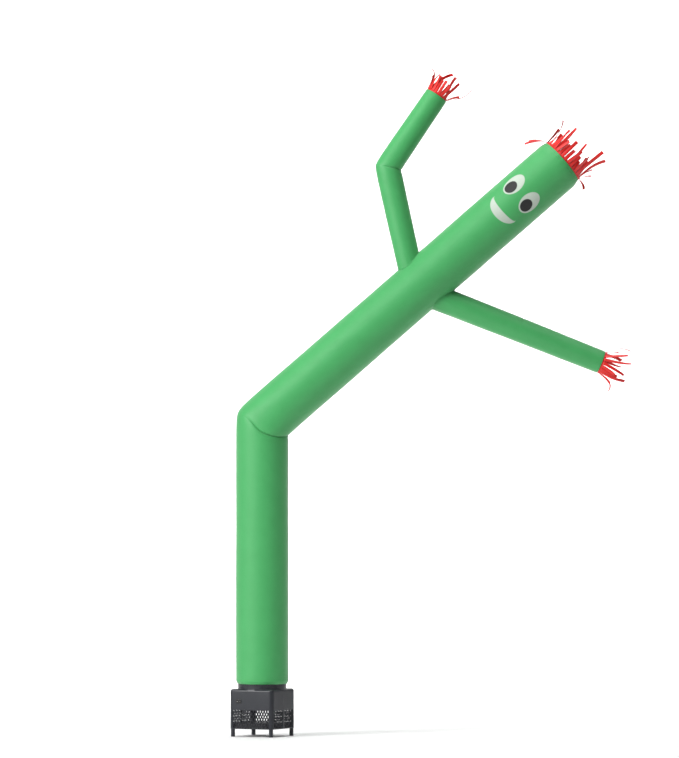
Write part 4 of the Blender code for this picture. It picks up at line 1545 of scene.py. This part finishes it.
@dataclass(frozen=True)
class VentPanel:
    """A panel of pointed holes in staggered rows, one of six round the housing's foot."""

    node: str
    width: float
    middle: tuple[float, float]
    facing: float
    blower: Blower = Blower()
    pitch_across: float = 0.00757
    pitch_up: float = 0.0137
    hole_size: float = 0.76
    roundness: float = 1.25
    thickness: float = 0.0022
    hole_points: int = 16

    def cell(self) -> np.ndarray:
        """The diamond that a hole's share of the panel fills, with even points on each side."""
        corner = np.arange(5.0)
        place = np.linspace(0.0, 4.0, self.hole_points, endpoint=False)
        across = np.interp(place, corner, [0.0, 1.0, 0.0, -1.0, 0.0]) * self.pitch_across / 2
        up = np.interp(place, corner, [1.0, 0.0, -1.0, 0.0, 1.0]) * self.pitch_up / 2
        return np.stack([across, up], axis=-1)

    def hole(self) -> np.ndarray:
        """A pointed oval in the cell: x^n + z^n = size^n, each a share of the half diamond."""
        cell = self.cell()
        share = np.abs(cell) / np.array([self.pitch_across / 2, self.pitch_up / 2])
        reach = (share ** self.roundness).sum(axis=1, keepdims=True) ** (1 / self.roundness)
        return cell * self.hole_size / reach

    def centres(self, height: float) -> np.ndarray:
        """Centres of the cells, in staggered rows that reach past the panel's edges."""
        across = math.ceil(self.width / self.pitch_across / 2) + 1
        up = math.ceil(height / self.pitch_up / 2) + 1
        column, row = np.meshgrid(np.arange(-across, across + 1), np.arange(-up, up + 1))
        even = np.stack([column, row], axis=-1).reshape(-1, 2) * (self.pitch_across, self.pitch_up)
        odd = even + np.array([self.pitch_across, self.pitch_up]) / 2
        return np.concatenate([even, odd])

    def build(self) -> bpy.types.Object:
        """The panel: each cell's rim as faces between its hole and its diamond, held inside
        the panel's edges, joined to its neighbours and then given its thickness.

        Returns:
            The piece, which stands for the panel's node.
        """
        blower = self.blower
        height = blower.vent_high - blower.vent_low
        limit = np.array([self.width / 2, height / 2])
        centres = self.centres(height)[:, None, None]
        depth = self.thickness / 2
        loops = np.stack([self.hole(), self.cell()])
        flat = np.clip(centres + loops[None], -limit, limit)
        turn = math.radians(self.facing)
        x = self.middle[0] + math.cos(turn) * flat[..., 0] + math.sin(turn) * depth
        y = self.middle[1] + math.sin(turn) * flat[..., 0] - math.cos(turn) * depth
        z = (blower.vent_high + blower.vent_low) / 2 + flat[..., 1]
        grids = np.stack([x, y, z], axis=-1)
        skin = Skin.joined([Skin.from_grid(grid, True) for grid in grids])
        sides = skin.points[skin.faces]
        diagonals = sides[:, 2] - sides[:, 0], sides[:, 3] - sides[:, 1]
        area = np.linalg.norm(np.cross(*diagonals), axis=1)
        skin = skin.without(area < 1e-9)
        skin.points = blower.place(skin.points)
        thing = skin.piece(f"{self.node}_lattice", Finish.HOUSING, "black_plastic", smooth=False)
        with edited(thing.data) as bm:
            bmesh.ops.remove_doubles(bm, verts=bm.verts, dist=WELD)
            loose = [vertex for vertex in bm.verts if not vertex.link_faces]
            bmesh.ops.delete(bm, geom=loose, context="VERTS")
        add_thickness(thing, self.thickness)
        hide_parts(self.node)
        return thing


@dataclass(frozen=True)
class Fittings:
    """The hard pieces whose packed form stays: their finishes and their rounded edges."""

    finishes: dict[str, Finish] = field(
        default_factory=lambda: {
            "guard": Finish.INSIDE,
            "fan": Finish.INSIDE,
            "motor_can": Finish.MOTOR,
            "motor_cap": Finish.CAP,
            "base_plate": Finish.PLATE,
            "switch_frame": Finish.SWITCH,
            "switch_rocker": Finish.SWITCH,
        }
    )
    slots: dict[Finish, str] = field(
        default_factory=lambda: {
            Finish.INSIDE: "black_plastic",
            Finish.MOTOR: "motor_steel",
            Finish.CAP: "white_plastic",
            Finish.PLATE: "dark_steel",
            Finish.SWITCH: "switch_plastic",
        }
    )
    edge: float = 0.0003

    def build(self) -> list[bpy.types.Object]:
        """A smooth copy of each node, its points joined and its edges rounded a little.

        Returns:
            The pieces.
        """
        pieces = []
        for node, finish in self.finishes.items():
            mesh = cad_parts[node].data.copy()
            mesh.name = f"{node}_finished"
            with edited(mesh) as bm:
                bmesh.ops.remove_doubles(bm, verts=bm.verts, dist=WELD)
                bmesh.ops.dissolve_limit(
                    bm, angle_limit=math.radians(1), verts=bm.verts, edges=bm.edges
                )
                bmesh.ops.recalc_face_normals(bm, faces=bm.faces)
            mesh.materials.clear()
            mesh.materials.append(finish.material())
            mesh.shade_smooth()
            mesh.set_sharp_from_angle(angle=math.radians(35))
            thing = placed(f"{node}_finished", mesh)
            bevel = thing.modifiers.new("edges", "BEVEL")
            bevel.width = self.edge
            bevel.segments = 2
            bevel.limit_method = "ANGLE"
            bevel.angle_limit = math.radians(50)
            bevel.harden_normals = True
            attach(thing, "root")
            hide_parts(node)
            pieces.append(thing)
        return pieces


@dataclass(frozen=True)
class SwitchMarks:
    """The plain on and off marks on the rocker: a bar and a ring."""

    blower: Blower = Blower()
    centre_x: float = -0.0348
    centre_z: float = 0.091
    bar_offset: float = 0.0030
    ring_offset: float = -0.0030
    ring_radius: float = 0.0010
    line: float = 0.00016
    bar_length: float = 0.0024
    ring_depth: float = -0.0024
    bar_depth: float = -0.0013

    def build(self) -> bpy.types.Object:
        """The two marks as thin tubes: a circle carried round a ring, and one along a bar.

        Returns:
            The piece.
        """
        skins = []
        around = np.linspace(0.0, 2 * math.pi, 8, endpoint=False)
        section = np.stack([np.cos(around), np.sin(around)], axis=-1) * self.line
        turn = np.linspace(0.0, 2 * math.pi, 25)[:, None]
        reach = self.ring_radius + section[None, :, 0]
        ring = np.stack(
            [self.centre_x + self.ring_offset + reach * np.cos(turn),
             np.broadcast_to(self.depth(self.ring_depth) + section[:, 1], (len(turn), len(around))),
             self.centre_z + reach * np.sin(turn)],
            axis=-1,
        )
        skins.append(Skin.from_grid(ring, True))
        rise = np.array([-0.5, -0.499, 0.499, 0.5])[:, None] * self.bar_length
        size = np.array([0.01, 1.0, 1.0, 0.01])[:, None]
        bar = np.stack(
            [self.centre_x + self.bar_offset + size * section[None, :, 0],
             self.depth(self.bar_depth) + size * section[None, :, 1],
             np.broadcast_to(self.centre_z + rise, (4, 8))],
            axis=-1,
        )
        skins.append(Skin.from_grid(bar, True))
        skin = Skin.joined(skins)
        skin.points = self.blower.place(skin.points)
        return skin.piece("switch_marks", Finish.MARKING, "white_plastic")

    def depth(self, out: float) -> float:
        """The place in front of the front wall, out from it by so much."""
        return -self.blower.half_side + out


@dataclass(frozen=True)
class Lamp:
    """A square lamp at a place, turned towards its aim, of a size in metres and a power in watts."""

    name: str
    place: tuple[float, float, float]
    aim: tuple[float, float, float]
    size: float
    power: float

    def build(self) -> None:
        """Hangs the lamp."""
        lamp = bpy.data.lights.new(self.name, "AREA")
        lamp.energy = self.power
        lamp.size = self.size
        thing = placed(self.name, lamp)
        thing.location = self.place
        way = Vector(self.aim) - Vector(self.place)
        thing.rotation_euler = way.to_track_quat("-Z", "Y").to_euler()


@dataclass(frozen=True)
class Studio:
    """A pale floor that sweeps up behind, soft lamps and the camera."""

    target: tuple[float, float, float] = (-0.2270, 0.0, 0.9152)
    distance: float = 24.0
    rise: float = math.radians(0.6)
    frame_width: float = 1.7393
    sensor: float = 36.0
    sweep_front: float = 12.0
    sweep_back: float = 4.0
    sweep_radius: float = 2.0
    sweep_top: float = 8.0
    sweep_half_width: float = 4.5
    floor_colour: Colour = (0.86, 0.86, 0.86, 1.0)
    world_strength: float = 0.19
    lamps: tuple[Lamp, ...] = (
        Lamp("key", (-4.6, -3.2, 2.8), (-0.2270, 0.0, 0.9152), 2.2, 300.0),
        Lamp("overhead", (0.0, -0.6, 4.8), (0.0, -0.4, 0.0), 4.0, 170.0),
        Lamp("backdrop", (0.0, 3.0, 3.8), (0.0, 6.0, 1.0), 3.0, 280.0),
    )

    def build_sweep(self) -> bpy.types.Object:
        """The floor and the backdrop as one sheet: flat, a quarter circle, then upright. It
        can't be seen from behind, so that it hides nothing from a camera that goes round.

        Returns:
            The sheet.
        """
        turn = np.linspace(0.0, math.pi / 2, 17)
        radius, back = self.sweep_radius, self.sweep_back
        y = np.concatenate(
            [[-self.sweep_front, 0.0, back], back + radius * np.sin(turn[1:]), [back + radius]]
        )
        z = np.concatenate([[0.0, 0.0, 0.0], radius * (1 - np.cos(turn[1:])), [self.sweep_top]])
        x = np.array([-self.sweep_half_width, self.sweep_half_width])
        grid = np.stack(
            [np.broadcast_to(x, (len(y), 2)), np.broadcast_to(y[:, None], (len(y), 2)),
             np.broadcast_to(z[:, None], (len(y), 2))],
            axis=-1,
        )
        skin = Skin.from_grid(grid, False)
        mesh = bpy.data.meshes.new("sweep")
        mesh.from_pydata(skin.points, [], skin.faces.tolist())
        mesh.shade_smooth()
        graph = Graph("pale_paper")
        tone = graph.noise(graph.object_place(), 3.0)
        dull = tuple(0.985 * shade for shade in self.floor_colour[:3]) + (1.0,)
        graph.set_shader(Base_Color=graph.mix(tone, self.floor_colour, dull), Roughness=0.9)
        graph.clear_from_behind()
        mesh.materials.append(graph.material)
        thing = placed("sweep", mesh)
        return thing

    def build_world(self) -> None:
        """An even white surround."""
        world = bpy.data.worlds.new("studio")
        world.use_nodes = True
        sky = world.node_tree.nodes["Background"]
        sky.inputs["Color"].default_value = (1.0, 1.0, 1.0, 1.0)
        sky.inputs["Strength"].default_value = self.world_strength
        bpy.context.scene.world = world

    def build_camera(self) -> None:
        """A long lens far off, a little above the middle, aimed at it."""
        camera = bpy.data.cameras.new("camera")
        camera.sensor_fit = "HORIZONTAL"
        camera.sensor_width = self.sensor
        camera.lens = self.sensor * self.distance / self.frame_width
        camera.clip_end = 100.0
        thing = placed("camera", camera)
        target = Vector(self.target)
        away = Vector((0.0, -math.cos(self.rise), math.sin(self.rise))) * self.distance
        thing.location = target + away
        thing.rotation_euler = (-away).to_track_quat("-Z", "Y").to_euler()
        bpy.context.scene.camera = thing

    def build(self) -> None:
        """Builds the whole studio."""
        self.build_sweep()
        self.build_world()
        for lamp in self.lamps:
            lamp.build()
        self.build_camera()
        bpy.context.scene.view_settings.view_transform = "Standard"


def vent_panels(blower: Blower) -> list[VentPanel]:
    """The six panels: one across the front and the back, two on each side wall.

    Args:
        blower: The blower that they belong to.

    Returns:
        The panels.
    """
    out = blower.half_side - VentPanel.thickness / 2
    wide = 2 * blower.vent_half_width
    short = blower.vent_half_width - blower.seam_strip
    along = blower.seam_strip + short / 2
    rows = (
        ("grille_front", wide, (0.0, -out), 0.0),
        ("grille_back", wide, (0.0, out), 180.0),
        ("grille_right_front", short, (out, -along), 90.0),
        ("grille_right_back", short, (out, along), 90.0),
        ("grille_left_front", short, (-out, -along), -90.0),
        ("grille_left_back", short, (-out, along), -90.0),
    )
    return [VentPanel(node, width, middle, facing) for node, width, middle, facing in rows]


def main() -> None:
    """Builds the studio, the blower and the dancer, and reports each piece."""
    logging.basicConfig(level=logging.INFO, format="%(name)s: %(message)s")
    blower = Blower()
    Studio().build()
    pieces = blower.build()
    pieces += [panel.build() for panel in vent_panels(blower)]
    pieces += Fittings().build()
    pieces.append(SwitchMarks().build())
    pieces += Dancer().build()
    for piece in pieces:
        LOG.info("%s: %d points, %d faces", piece.name, len(piece.data.vertices),
                 len(piece.data.polygons))


if __name__ == "__main__":
    main()
